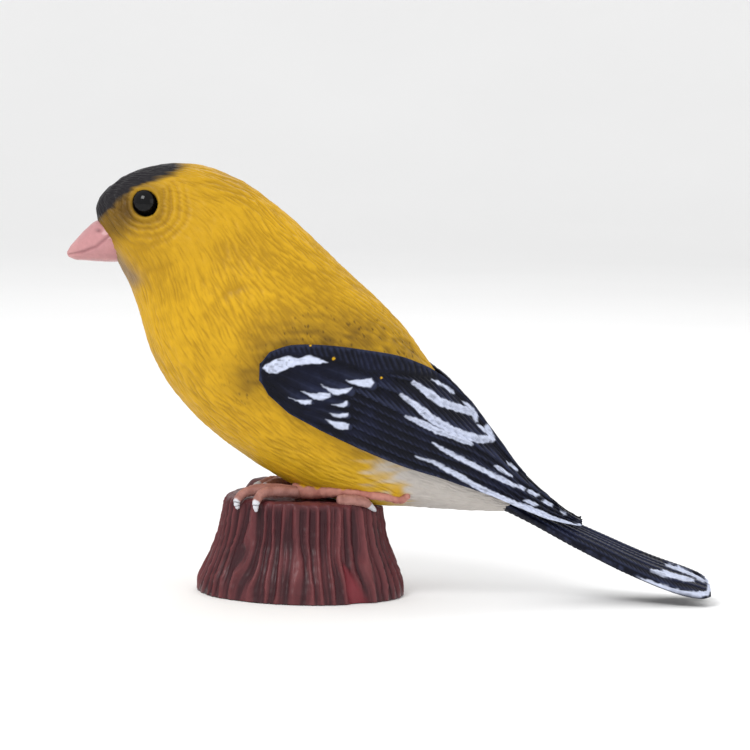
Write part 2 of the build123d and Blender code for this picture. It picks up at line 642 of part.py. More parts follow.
shell = build_shell(outer_left, [beak, tail, eyes[-1], tarsi[-1]])
shell_left, shell_right = shell, mirror_y(shell)
for x, z in SHELL_SCREWS:
    shell_left -= rod((x, 1, z), (x, -8, z), 0.85)
    shell_right -= rod((x, -1, z), (x, 4.5, z), 1.2)
    shell_right -= rod((x, 4.5, z), (x, 40, z), 2.3)
keep("body_shell_left", shell_left)
keep("body_shell_right", shell_right)
keep("beak", beak)
keep("tail", tail)
for side, hand in ((-1, "left"), (1, "right")):
    keep(f"eye_{hand}", eyes[side])
    keep(f"tarsus_{hand}", tarsi[side])
    keep(f"foot_{hand}", feet[side])
keep("shell_screws", Compound(children=[
    screw((x, -7.4, z), (x, 4.5, z), 0.85, 2.1, 1.5) for x, z in SHELL_SCREWS]))

plate, tongue, tongue_hole = build_wing()
wing = plate + tongue - tongue_hole
keep("wing_left", wing)
keep("wing_right", mirror_y(wing))
hub = build_hub()
keep("wing_hub_left", hub)
keep("wing_hub_right", mirror_y(hub))
wing_screw = in_drive(screw((10, -SHAFT_Y - 0.8, -3), (10, -SHAFT_Y - 0.8, 3), 1.0, 1.8, 1.1))
keep("wing_screw_left", wing_screw)
keep("wing_screw_right", mirror_y(wing_screw))
shaft = in_drive(rod((0, -SHAFT_Y, PLATE_LOW - PLATE_T), (0, -SHAFT_Y, PLATE_HIGH + PLATE_T), SHAFT_R))
keep("wing_shaft_left", shaft)
keep("wing_shaft_right", mirror_y(shaft))
keep("drive_chassis", chassis_low)
keep("bearing_plate", chassis_high)
keep("bearing_screws", Compound(children=[
    in_drive(screw((x, y, 0), (x, y, PLATE_HIGH + PLATE_T), 0.7, 1.5, 0.9))
    for x in POST_X for y in (-6.4, 6.4)]))
keep("drive_rack", build_rack())
names = ("solenoid_yoke", "coil_bobbin", "coil_winding", "plunger", "rack_pin", "return_spring")
for name, solid in zip(names, build_solenoid()):
    keep(name, solid)
parts["solenoid_yoke"] -= rod((*WIRE_HOLE, 20), (*WIRE_HOLE, 47), 1.7)

keep("stump_shell", stump)
keep("base_plate", build_base())
keep("base_screws", Compound(children=[
    screw((x, y, 12), (x, y, 2.2), 0.9, 2.1, 1.0) for x, y in BASE_SCREWS]))
keep("bird_screws", Compound(children=[
    screw((BIRD_SCREWS[0], side * BIRD_SCREWS[1], 31), (BIRD_SCREWS[0], side * BIRD_SCREWS[1], ROOF_IN),
          1.1, 2.4, 1.5) for side in (-1, 1)]))
keep("cell_door", build_door())
keep("door_hinge_pin", rod((DOOR_HINGE[0], -7.3, DOOR_HINGE[1]), (DOOR_HINGE[0], 7.3, DOOR_HINGE[1]), 0.6))
switch_can, switch_knob = build_switch()
keep("switch_can", switch_can)
keep("switch_knob", switch_knob)
cells, contact_coil, contact_leaf, contact_plate = build_cells()
keep("button_cells", Compound(children=cells))
keep("contact_coil", contact_coil)
keep("contact_leaf", contact_leaf)
keep("contact_plate", contact_plate)
board, board_screws, chip, capacitor = build_board()
keep("pulse_board", board)
keep("board_screws", Compound(children=board_screws))
keep("timer_chip", chip)
keep("capacitor", capacitor)
keep("coil_leads", Compound(children=build_leads(parts["coil_winding"])))

for name, shape in parts.items():
    export_step(shape, f"parts/{name}.step")
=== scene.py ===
import json
import math
import bmesh
import bpy
import numpy as np
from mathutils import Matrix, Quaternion, Vector
from mathutils.bvhtree import BVHTree


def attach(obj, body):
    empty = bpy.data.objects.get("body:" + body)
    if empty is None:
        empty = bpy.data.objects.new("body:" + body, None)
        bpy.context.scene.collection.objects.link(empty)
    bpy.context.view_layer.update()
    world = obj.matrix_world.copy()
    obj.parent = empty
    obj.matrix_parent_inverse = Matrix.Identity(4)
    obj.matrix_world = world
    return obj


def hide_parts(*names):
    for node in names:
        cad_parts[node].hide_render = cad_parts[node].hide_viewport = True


# The looks of the painted songbird decoy. Lengths are in millimetres until a mesh is made.
# +Z is up, the bird faces -X, and its left side, towards the camera, faces -Y.

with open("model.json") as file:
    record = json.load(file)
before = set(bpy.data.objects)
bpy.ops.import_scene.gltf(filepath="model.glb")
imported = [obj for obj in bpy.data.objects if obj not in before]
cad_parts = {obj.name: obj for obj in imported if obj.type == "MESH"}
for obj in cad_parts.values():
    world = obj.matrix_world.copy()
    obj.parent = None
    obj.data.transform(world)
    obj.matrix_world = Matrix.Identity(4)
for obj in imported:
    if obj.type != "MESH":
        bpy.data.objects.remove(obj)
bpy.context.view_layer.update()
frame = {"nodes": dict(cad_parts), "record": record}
nodes = frame["nodes"]
rng = np.random.default_rng(11)

# ---------------------------------------------------------------- measures
# Body stations from forehead to vent: back (x, z), belly (x, z), half width.
BODY = [
    ((-55.2, 111.3), (-58.4, 107.5), 2.4),
    ((-51.5, 114.2), (-59.2, 104.9), 4.8),
    ((-45.8, 116.5), (-58.5, 101.4), 8.4),
    ((-38.0, 118.0), (-56.3, 96.3), 11.4),
    ((-28.3, 117.2), (-52.1, 88.9), 13.9),
    ((-18.4, 113.4), (-47.3, 79.0), 15.9),
    ((-9.4, 107.0), (-43.4, 66.5), 18.0),
    ((-0.9, 100.0), (-37.5, 56.4), 20.3),
    ((7.9, 91.9), (-29.4, 47.4), 22.0),
    ((17.0, 84.0), (-20.0, 39.9), 22.8),
    ((25.7, 75.7), (-9.7, 33.5), 22.5),
    ((33.2, 66.1), (1.3, 28.0), 20.8),
    ((40.6, 56.1), (14.7, 25.2), 17.8),
    ((47.6, 47.4), (28.4, 24.5), 14.0),
    ((53.2, 40.0), (39.6, 23.9), 10.4),
    ((57.3, 34.0), (48.6, 23.7), 7.2),
    ((59.7, 29.2), (55.3, 23.9), 4.4),
]
BELLY_FULL = 0.08
EYE = np.array([-45.1, 107.1])
VIEW_SLOPE = 0.105
DRIVE_AT = np.array([-11.4, 0.0, 63.7])
LONG = np.array([0.766044, 0.0, -0.642788])
UP = np.array([0.642788, 0.0, 0.766044])

# Wing outline in the side view: x, lower edge z, upper edge z.
WING = [
    (-12.3, 60.6, 65.2), (-9.6, 56.6, 68.4), (-4.0, 51.8, 70.4), (5.0, 47.2, 70.6),
    (16.0, 42.2, 69.4), (27.0, 37.8, 67.2), (37.0, 34.6, 62.2), (46.0, 31.4, 54.0),
    (53.0, 28.8, 45.2), (60.0, 25.8, 36.0), (68.0, 22.8, 28.4), (77.6, 20.9, 22.3),
]

# Paint, as sRGB.
YELLOW, LEMON, OCHRE = (202, 156, 22), (200, 164, 46), (158, 118, 14)
BROWN, CAP, UNDER = (92, 66, 16), (24, 21, 26), (192, 186, 180)
THROAT_SHADOW = (120, 104, 92)
INK, INK_BLUE, CHALK = (9, 11, 24), (20, 24, 46), (192, 199, 220)
MAROON, BARK_PALE_AND_HIGHLIGHT, BARK_GROOVE_SHADE, HEARTWOOD = (88, 42, 46), (116, 62, 64), (54, 22, 28), (112, 40, 48)
SALMON, SALMON_SHADE, TOE, TOE_SHADE = (186, 128, 116), (160, 98, 90), (164, 118, 110), (132, 88, 80)
CLAW = (206, 208, 214)
HORN, GAPE_CREASE_SHADE, HORN_TIP, NOSTRIL_PIT_SHADE = (184, 132, 134), (150, 100, 104), (196, 146, 144), (120, 80, 84)
# Painted highlight for the raised carving of the wing and tail.
CREST_HIGHLIGHT = (52, 58, 84)


# ---------------------------------------------------------------- small tools
def linear(colour):
    """An sRGB colour of 0 to 255 as linear light."""
    c = np.asarray(colour, float) / 255
    return np.where(c <= 0.04045, c / 12.92, ((c + 0.055) / 1.055) ** 2.4)


def step(low, high, value):
    """0 below low, 1 above high, smooth between."""
    t = np.clip((value - low) / (high - low), 0, 1)
    return t * t * (3 - 2 * t)


def mix(first, second, share):
    """Colours blended point by point."""
    share = np.asarray(share)[..., None]
    return first * (1 - share) + second * share


def noise(points, size, seed=0):
    """Smooth random values from -1 to 1 at points of space."""
    cell = np.asarray(points) / np.asarray(size) + 31.7 * (seed + 1)
    base = np.floor(cell).astype(np.int64)
    t = cell - base
    t = t * t * (3 - 2 * t)
    total = 0
    for corner in range(8):
        offset = np.array([corner & 1, corner >> 1 & 1, corner >> 2 & 1])
        at = base + offset
        mixed = at[..., 0] * 73856093 ^ at[..., 1] * 19349663 ^ at[..., 2] * 83492791
        mixed = (mixed ^ (mixed >> 13)) * 1274126177 & 0x7FFFFFFF
        value = ((mixed >> 7) & 0xFFFF) / 65535
        total = total + np.prod(np.where(offset, t, 1 - t), axis=-1) * value
    return total * 2 - 1


def through(values, at):
    """A smooth curve through rows of values, at positions counted in rows."""
    values = np.asarray(values, float)
    last = len(values) - 1
    k = np.clip(np.floor(at).astype(int), 0, last - 1)
    t = (at - k)[..., None]
    p0, p1 = values[np.maximum(k - 1, 0)], values[k]
    p2, p3 = values[k + 1], values[np.minimum(k + 2, last)]
    a, b, c = -p0 + 3 * p1 - 3 * p2 + p3, 2 * p0 - 5 * p1 + 4 * p2 - p3, p2 - p0
    return 0.5 * (((a * t + b) * t + c) * t + 2 * p1)


def seen_height(points):
    """Height at which the camera, looking a little down, sees a point of the near side."""
    return points[..., 2] + VIEW_SLOPE * points[..., 1]


def along_x(line, x):
    """Height of an open line of (x, z) points at each x."""
    line = np.asarray(line, float)
    return np.interp(x, line[:, 0], line[:, 1])


def line_distance(x, z, line):
    """Distance to an open line, and the share of its length at the nearest point."""
    line = np.asarray(line, float)
    runs = np.hypot(*np.diff(line, axis=0).T)
    best = np.full(np.shape(x), 1e9)
    share = np.zeros(np.shape(x))
    done = 0.0
    for (x0, z0), (x1, z1), run in zip(line[:-1], line[1:], runs):
        t = np.clip(((x - x0) * (x1 - x0) + (z - z0) * (z1 - z0)) / run ** 2, 0, 1)
        away = np.hypot(x - x0 - t * (x1 - x0), z - z0 - t * (z1 - z0))
        share = np.where(away < best, (done + t * run) / runs.sum(), share)
        best = np.minimum(best, away)
        done += run
    return best, share


def inside(x, z, outline):
    """Whether each point lies inside a closed outline."""
    hit = np.zeros(np.shape(x), bool)
    for (x0, z0), (x1, z1) in zip(outline, outline[1:] + outline[:1]):
        if z0 != z1:
            cross = x0 + (z - z0) * (x1 - x0) / (z1 - z0)
            hit ^= ((z0 > z) != (z1 > z)) & (x < cross)
    return hit


def patch(x, z, outline, soft=0.25):
    """Brushed patch of paint: 1 inside the outline, with a slightly soft edge."""
    away, _ = line_distance(x, z, outline + outline[:1])
    signed = np.where(inside(x, z, outline), away, -away)
    return step(-soft, soft, signed)


def stroke(x, z, line, width, soft=0.22, fine_ends=(0.35, 0.6)):
    """Brush stroke along a line, narrower at its start and end."""
    away, share = line_distance(x, z, line)
    swell = np.interp(share, [0, 0.25, 0.8, 1], [fine_ends[0], 1, 1, fine_ends[1]])
    return 1 - step(width / 2 * swell - soft, width / 2 * swell + soft, away)


def grid_faces(rows, columns, start=0, wrap=False):
    """Quads of a grid of points; wrap joins the last column to the first."""
    faces = []
    for i in range(rows - 1):
        for j in range(columns if wrap else columns - 1):
            a, b = start + i * columns + j, start + i * columns + (j + 1) % columns
            faces.append((a, b, b + columns, a + columns))
    return faces


def add_mesh(name, points, faces, material, body, paint=None, stands_for=()):
    """Makes a piece from points in millimetres, with its faces turned outwards."""
    mesh = bpy.data.meshes.new(name)
    mesh.from_pydata((np.asarray(points) / 1000).tolist(), [], faces)
    if paint is not None:
        colours = np.ones((len(points), 4))
        colours[:, :3] = np.clip(paint, 0, 1)
        mesh.color_attributes.new("Paint", "FLOAT_COLOR", "POINT").data.foreach_set(
            "color", colours.astype(np.float32).ravel())
    sculpt = bmesh.new()
    sculpt.from_mesh(mesh)
    bmesh.ops.remove_doubles(sculpt, verts=sculpt.verts, dist=2e-6)
    bmesh.ops.recalc_face_normals(sculpt, faces=sculpt.faces)
    sculpt.to_mesh(mesh)
    sculpt.free()
    mesh.polygons.foreach_set("use_smooth", [True] * len(mesh.polygons))
    mesh.materials.append(material)
    piece = bpy.data.objects.new(name, mesh)
    bpy.context.scene.collection.objects.link(piece)
    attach(piece, body)
    if stands_for:
        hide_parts(*stands_for)
    return piece


def grid_normals(points):
    """Unit normals of a grid of points, and the size of its cells along rows and columns."""
    down, across = np.gradient(points, axis=0), np.gradient(points, axis=1)
    normal = np.cross(down, across)
    normal /= np.linalg.norm(normal, axis=-1, keepdims=True) + 1e-12
    return normal, np.linalg.norm(down, axis=-1), np.linalg.norm(across, axis=-1)


def carve(height, cell_down, cell_across, spacing, length, depth, lean, skip):
    """Engraves short strokes side by side, running down the rows; skip is the share left out."""
    rows, columns = height.shape
    i = 2.0
    while i < rows - 2:
        row = int(i)
        reach = np.cumsum(cell_across[row])
        count = max(int(reach[-1] / spacing), 1)
        places = (np.arange(count) + 0.5 + rng.uniform(-0.28, 0.28, count)) * reach[-1] / count
        for place in places:
            j = int(np.searchsorted(reach, place))
            run = length * rng.uniform(0.7, 1.35)
            shift = int(rng.uniform(-0.5, 0.5) * length / max(cell_down[row, columns // 2], 0.05))
            ci = int(np.clip(row + shift, 1, rows - 2))
            cj = int(np.clip(j, 1, columns - 2))
            if skip[ci, cj] > rng.uniform(0, 1):
                continue
            a, b = max(cell_down[ci, cj], 0.05), max(cell_across[ci, cj], 0.03)
            tilt = lean[ci, cj] + rng.uniform(-0.06, 0.06)
            half_i = int(run / 2 / a) + 1
            half_j = int((0.8 + abs(tilt) * run / 2) / b) + 1
            i0, i1 = max(ci - half_i, 0), min(ci + half_i + 1, rows)
            j0, j1 = max(cj - half_j, 0), min(cj + half_j + 1, columns)
            down = (np.arange(i0, i1) - ci)[:, None] * a
            side = (np.arange(j0, j1) - cj)[None, :] * b - tilt * down
            side = side - 0.18 * np.sin(down * 0.9 + place)
            taper = np.sqrt(np.clip(1 - (2 * down / run) ** 2, 0, 1))
            groove = -depth * rng.uniform(0.6, 1.1) * taper * np.exp(-(side / (0.27 * spacing)) ** 2)
            height[i0:i1, j0:j1] = np.minimum(height[i0:i1, j0:j1], groove)
        i += 0.8 * length / max(float(np.median(cell_down[row])), 0.1)


# ---------------------------------------------------------------- materials
def new_material(name, coat=0.0, metallic=0.0, shine=0.5):
    """A material with its shader set, and the tools to wire nodes to it."""
    material = bpy.data.materials.new(name)
    material.use_nodes = True
    tree = material.node_tree
    shader = tree.nodes["Principled BSDF"]
    shader.inputs["Metallic"].default_value = metallic
    shader.inputs["Coat Weight"].default_value = coat
    shader.inputs["Specular IOR Level"].default_value = shine
    shader.inputs["Coat Roughness"].default_value = 0.25
    return material, tree, shader


def noise_node(tree, scale, detail=4.0, stretch=None):
    """Noise in object space at so many waves a metre, stretched along one axis if asked."""
    place = tree.nodes.new("ShaderNodeTexCoord")
    turn = tree.nodes.new("ShaderNodeMapping")
    turn.inputs["Scale"].default_value = stretch or (1, 1, 1)
    grain = tree.nodes.new("ShaderNodeTexNoise")
    grain.inputs["Scale"].default_value = scale
    grain.inputs["Detail"].default_value = detail
    tree.links.new(place.outputs["Object"], turn.inputs["Vector"])
    tree.links.new(turn.outputs["Vector"], grain.inputs["Vector"])
    return grain.outputs["Fac"]


def remap(tree, value, low, high):
    """Maps the middle of a noise to the range low to high."""
    node = tree.nodes.new("ShaderNodeMapRange")
    node.inputs["From Min"].default_value = 0.3
    node.inputs["From Max"].default_value = 0.7
    node.inputs["To Min"].default_value = low
    node.inputs["To Max"].default_value = high
    tree.links.new(value, node.inputs["Value"])
    return node.outputs["Result"]


def finish_with(tree, shader, colour, scale, shade, rough, bump, stretch=None):
    """Colour with mottling, uneven gloss and a fine grain."""
    mottle = noise_node(tree, scale, 6.0, stretch)
    scaled = tree.nodes.new("ShaderNodeVectorMath")
    scaled.operation = "SCALE"
    tree.links.new(colour, scaled.inputs[0])
    tree.links.new(remap(tree, mottle, 1 - shade, 1 + shade), scaled.inputs["Scale"])
    tree.links.new(scaled.outputs["Vector"], shader.inputs["Base Color"])
    tree.links.new(remap(tree, noise_node(tree, scale * 2.3, 3.0), *rough), shader.inputs["Roughness"])
    relief = tree.nodes.new("ShaderNodeBump")
    relief.inputs["Strength"].default_value = bump
    relief.inputs["Distance"].default_value = 0.0001
    tree.links.new(noise_node(tree, scale * 4, 5.0, stretch), relief.inputs["Height"])
    tree.links.new(relief.outputs["Normal"], shader.inputs["Normal"])


def painted(name, rough, coat=0.0, scale=500.0, shade=0.06, bump=0.35, stretch=None, shine=0.2):
    """Hand-painted moulding: colour from the piece's paint, brushed and slightly uneven."""
    material, tree, shader = new_material(name, coat, shine=shine)
    source = tree.nodes.new("ShaderNodeVertexColor")
    source.layer_name = "Paint"
    finish_with(tree, shader, source.outputs["Color"], scale, shade, rough, bump, stretch)
    return material


def plain(name, colour, rough, metallic=0.0, coat=0.0, scale=600.0, shade=0.1, bump=0.25, stretch=None,
          shine=0.5):
    """A moulded or plated part of one main colour with wear and grain."""
    material, tree, shader = new_material(name, coat, metallic, shine)
    source = tree.nodes.new("ShaderNodeRGB")
    source.outputs[0].default_value = (*linear(colour), 1)
    finish_with(tree, shader, source.outputs[0], scale, shade, rough, bump, stretch)
    return material


plumage = painted("plumage_paint", (0.40, 0.52), scale=420, shade=0.05)
feather = painted("feather_paint", (0.28, 0.44), scale=650, shade=0.14, bump=0.4, shine=0.12)
bark = painted("bark_lacquer", (0.36, 0.52), coat=0.08, scale=260, shade=0.14, bump=0.6,
               stretch=(1, 1, 0.25))
skin = painted("leg_paint", (0.38, 0.55), scale=900, shade=0.10, bump=0.5)
horn = painted("beak_paint", (0.26, 0.36), coat=0.2, scale=700, shade=0.06, bump=0.2)
bead = plain("eye_gloss", (4, 4, 6), (0.05, 0.12), shade=0.3, bump=0.05, shine=0.22)


# ---------------------------------------------------------------- body
ROWS, COLUMNS, DOME = 330, 236, 9


def body_grid():
    """Skin of the left half: rows run from the forehead to the vent, columns from back to belly."""
    table = np.array([[*back, *belly, width] for back, belly, width in BODY])
    last = len(BODY) - 1
    at = np.concatenate([np.zeros(DOME), np.linspace(0, last, ROWS), np.full(DOME, last)])
    lift = np.concatenate([np.linspace(1, 0, DOME, endpoint=False), np.zeros(ROWS),
                           np.linspace(0, 1, DOME + 1)[1:]])
    rows = through(table, at)
    back, belly, width = rows[:, 0:2], rows[:, 2:4], rows[:, 4]
    centre = (back + belly) / 2
    shrink = np.cos(lift * math.pi / 2)[:, None]
    ends = np.where(at == 0, -1, 1)
    bulge = (np.sin(lift * math.pi / 2) * ends * width * 0.15)[:, None] * LONG[[0, 2]]
    turn = np.linspace(0, math.pi, COLUMNS)
    rise = np.cos(turn)[None, :, None]
    flat = centre[:, None, :] + bulge[:, None, :] + (back - centre)[:, None, :] * rise * shrink[:, None, :]
    side = -width[:, None] * shrink * np.sin(turn) * (1 - BELLY_FULL * np.cos(turn))
    return np.stack([flat[..., 0], side, flat[..., 1]], axis=-1)


def body_relief(points, cell_down, cell_across):
    """Height of the sculpted plumage over the smooth body."""
    x, y, z = points[..., 0], points[..., 1], points[..., 2]
    from_eye = np.hypot(x - EYE[0], z - EYE[1])
    side = step(3.0, 6.0, -y)
    near_eye = side * (1 - step(3.6, 6.5, from_eye))
    lean = 0.32 * noise(points, 15, 1) + 0.12 * noise(points, 6, 2)
    height = np.zeros(x.shape)
    head = 1 - step(-34, -20, x)
    carve(height, cell_down, cell_across, 1.0, 6.5, 0.36, lean, np.maximum(head * 0.55, near_eye))
    carve(height, cell_down, cell_across, 0.75, 3.6, 0.20, lean * 0.6, np.maximum(1 - head, near_eye))
    height += 0.10 * noise(points, 1.6, 3) * (1 - near_eye) + 0.22 * noise(points, 9, 4)
    # Folds of skin round the eye, open at the top and the front.
    bearing = np.degrees(np.arctan2(z - EYE[1], x - EYE[0]))
    open_top = step(35, 60, bearing) * (1 - step(150, 172, bearing))
    wave = from_eye + 0.8 * noise(points, 4, 5) + 0.3 * noise(points, 1.8, 9)
    height += side * 0.60 * np.exp(-((from_eye - 4.2) / 0.6) ** 2)
    for radius, deep, width in ((5.4, 0.30, 0.42), (7.2, 0.34, 0.5), (9.4, 0.26, 0.6), (11.6, 0.16, 0.7)):
        height -= side * (1 - open_top) * deep * np.exp(-((wave - radius) / width) ** 2)
        height += side * (1 - open_top) * deep * 0.5 * np.exp(-((wave - radius - 0.95) / width) ** 2)
    scallop = np.abs(np.sin(np.radians(bearing) * 7))
    height += side * 0.16 * scallop * np.exp(-((from_eye - 4.1) / 0.4) ** 2)
    # Ear line, throat crease beside the beak, and soft folds on the shoulder.
    for line, deep, width in (
            ([(-36.0, 111.1), (-30.0, 113.0), (-23.8, 113.9)], 0.22, 0.6),
            ([(-24.9, 81.1), (-21.0, 84.4), (-15.1, 86.2)], 0.30, 1.0),
            ([(-49.0, 93.5), (-43.5, 95.0), (-39.5, 99.5)], 0.26, 0.7),
            ([(-46.5, 88.0), (-40.0, 89.5), (-33.5, 93.5)], 0.20, 0.8)):
        away, share = line_distance(x, z, line)
        height -= side * deep * np.exp(-(away / width) ** 2) * np.sin(np.clip(share, 0.04, 0.96) * math.pi)
    away = np.hypot(x - 26.0, z - 30.0)
    height += step(4, 7, -y) * 0.9 * np.exp(-(away / 1.7) ** 2)
    height -= 0.10 * np.exp(-(y / 0.22) ** 2)
    socket = side * (1 - step(3.15, 3.45, from_eye))
    return height * (1 - socket) - 2.2 * socket


def body_paint(points, height):
    """Yellow plumage, black cap, airbrushed shades and the white vent."""
    x, y, z = points[..., 0], points[..., 1], points[..., 2]
    seen = seen_height(points)
    streak = noise(points, (5.5, 1.1, 1.1), 6)
    soft = noise(points, 10, 7)
    colour = np.broadcast_to(linear(YELLOW), points.shape).copy()
    from_eye = np.hypot(x - EYE[0], z - EYE[1])
    side = step(2.0, 5.0, -y)
    colour = mix(colour, linear(OCHRE), 0.35 * step(-8, -34, x) * step(80, 100, z))
    colour = mix(colour, linear(OCHRE), 0.30 * step(0.2, 0.9, soft))
    # Painted shade: the engraved grooves and eye folds turn darker in step with their depth.
    colour = mix(colour, linear(OCHRE), 0.75 * np.clip(-height / 0.34, 0, 1))
    belly = step(26, 44, seen + 4 * soft)
    colour = mix(colour, linear(LEMON), 0.5 * (1 - belly))
    # White vent behind a slanting line, with yellow streaks running into it.
    behind = (x - 18.2) * 0.91 + (seen - 43.6) * 0.42
    vent = step(-3.5, 7.5, behind + 3.2 + 5.5 * streak + 1.5 * soft) * (1 - step(46, 54, seen))
    colour = mix(colour, linear(UNDER), vent)
    tuft = np.exp(-(np.hypot(x - 26.0, z - 30.0) / 1.9) ** 4) * step(4, 7, -y)
    colour = mix(colour, linear(YELLOW), tuft)
    # Airbrush along the wing's upper front edge, with fine speckles.
    away, _ = line_distance(x, z, [(-14.5, 60.0), (-9.0, 70.0), (2.0, 74.0), (16.0, 72.5), (30.0, 69.0)])
    mist = np.exp(-(away / 6.5) ** 2) * step(3, 8, -y)
    speck = step(0.62, 0.75, noise(points, 0.7, 8)) * np.exp(-(away / 8.5) ** 2) * step(3, 8, -y)
    colour = mix(colour, linear(BROWN), np.clip(0.62 * mist * (0.85 + 0.5 * streak) + 0.6 * speck, 0, 1))
    # Brown shade between eye and beak and under the eye, and a painted shadow under the beak at the throat.
    lore = np.exp(-(np.hypot(x + 54.6, (z - 103.6) * 0.8) / 6.6) ** 4)
    under_eye = side * np.exp(-((from_eye - 4.4) / 2.6) ** 2)
    colour = mix(colour, linear(BROWN), np.clip(0.86 * lore + 0.42 * under_eye, 0, 1))
    chin, _ = line_distance(x, z, [(-54.0, 92.0), (-51.2, 88.6), (-48.4, 86.1)])
    colour = mix(colour, linear(THROAT_SHADOW), 0.75 * np.exp(-(chin / 2.6) ** 2))
    # Black cap with a streaky lower edge, thinning out on the crown.
    edge = along_x([(-62.0, 100.2), (-59.5, 102.1), (-57.2, 104.1), (-53.4, 108.2), (-48.7, 111.6),
                    (-43.6, 114.3), (-37.7, 116.4), (-33.8, 118.2)], x)
    over = step(-3.6, -0.6, seen - edge + 0.9 * streak) * (1 - step(-40, -31, x + 1.6 * streak))
    colour = mix(colour, linear(CAP), np.clip(over * 1.08, 0, 1))
    rim = side * (1 - step(3.35, 3.7, from_eye))
    colour = mix(colour, linear((16, 14, 12)), np.clip(rim, 0, 1))
    return colour


def root_window(points):
    """Which points lie in the opening for the wing's root and the head of its screw."""
    local = points - DRIVE_AT
    along, up = local @ LONG, local @ UP
    root = (along > 3.6) & (along < 15.4) & (np.abs(up) < 3.5)
    head = (along > 6.7) & (along < 12.9) & (up > 0) & (up < 4.7)
    return (root | head) & (points[..., 1] < -14)


def add_body():
    """Both halves of the body, closed on the mid-plane, with the windows for the wing roots."""
    base = body_grid()
    normal, cell_down, cell_across = grid_normals(base)
    outward = np.sign((normal * (base - base[:, COLUMNS // 2][:, None] * [1, 0, 1])).sum(-1).mean())
    height = body_relief(base, cell_down, cell_across)
    fade = np.sin(np.clip(np.linspace(0, math.pi, COLUMNS) * 6, 0, math.pi / 2))
    row, last_row = np.arange(len(base)), len(base) - 1
    ends = step(0, DOME + 3, row) * (1 - step(last_row - DOME - 2, last_row, row))
    paint = body_paint(base, height)
    shift = normal * outward * (height * ends[:, None])[..., None]
    shift[..., 1] *= fade[None, :]
    points = base + shift
    window = root_window(points)
    points[window, 1] = -12.5
    # Painted shade: the sunk floor of each window is near black, standing for the dark hollow inside.
    paint[window] = linear((20, 18, 16))
    count = len(base)
    faces = grid_faces(count, COLUMNS)
    for i in range(count - 1):
        top, low = i * COLUMNS, i * COLUMNS + COLUMNS - 1
        faces.append((top, top + COLUMNS, low + COLUMNS, low))
    for side, hand in ((1, "left"), (-1, "right")):
        add_mesh(f"plumage_{hand}", (points * [1, side, 1]).reshape(-1, 3), faces, plumage, "figure",
                 paint.reshape(-1, 3), [f"body_shell_{hand}"])


# ---------------------------------------------------------------- wings
W_ROWS, W_COLUMNS = 330, 124

# Feather edges in the side view as the camera sees it, from the lowest up.
EDGE_3 = [(2, 59.5), (14, 55.6), (27.8, 49.4), (36.7, 45.5), (46.0, 42.3), (53, 38.2), (60, 32.4), (78, 21.6)]
EDGE_2 = [(6, 61.8), (14, 59.4), (26.3, 55.2), (35.2, 48.7), (44.6, 44.3), (53, 43.0), (60, 35.5), (78, 22)]
EDGE_1 = [(6, 63.2), (20, 61.2), (29.4, 58.9), (37.4, 53.4), (46.7, 50.9), (53, 45), (60, 36.5), (78, 22.2)]
FRINGE = [(-12, 62.5), (-4.6, 65.1), (7.5, 63.8), (16.8, 60.8), (26, 61.0), (36.3, 60.2), (44, 55),
          (60, 36.5)]

# Covert feathers: root, middle, tip and half width.
COVERTS = [
    ((-9.0, 58.6), (-4.0, 55.2), (1.9, 51.9), 1.5), ((-6.8, 60.0), (0.3, 57.0), (6.9, 54.0), 1.75),
    ((-3.1, 61.6), (5.8, 58.4), (12.6, 55.6), 1.9), ((1.5, 63.0), (10.3, 60.4), (18.3, 57.6), 2.2),
    ((1.6, 53.8), (7.4, 52.9), (11.8, 52.1), 1.25), ((1.3, 51.4), (6.9, 50.0), (12.0, 49.0), 1.3),
    ((-0.5, 49.6), (6.1, 47.6), (12.4, 46.0), 1.4),
]

# White paint on the wing: filled patches, then strokes with their width.
PATCHES = [
    [(-11.4, 61.4), (-10.6, 62.4), (-8.7, 63.5), (-4.6, 65.0), (-2.0, 64.2), (1.0, 65.2), (3.8, 64.4),
     (6.3, 63.3), (0.1, 62.8), (-3.1, 62.1), (-7.5, 60.1), (-9.5, 60.0)],
    [(11.1, 58.6), (14.2, 58.9), (18.2, 59.4), (18.6, 58.2), (17.8, 57.0), (14.6, 57.2)],
    [(4.4, 57.4), (6.6, 56.5), (9.5, 56.1), (12.8, 56.7), (11.9, 55.5), (9.6, 54.6), (7.7, 54.9)],
    [(-1.1, 55.4), (1.7, 54.9), (7.0, 55.1), (7.1, 54.0), (5.0, 53.1), (2.7, 53.4)],
    [(-4.0, 53.7), (-2.4, 53.0), (2.0, 53.1), (1.9, 52.0), (0.4, 51.6)],
    [(7.5, 52.0), (9.7, 52.2), (11.9, 53.1), (11.7, 52.0), (10.6, 51.2)],
    [(7.0, 49.5), (9.7, 49.5), (12.0, 49.8), (11.8, 48.8), (10.2, 48.3), (8.4, 48.7)],
    [(6.0, 47.9), (7.9, 47.5), (12.4, 46.9), (12.2, 45.5), (10.8, 45.1), (8.4, 45.9)],
]
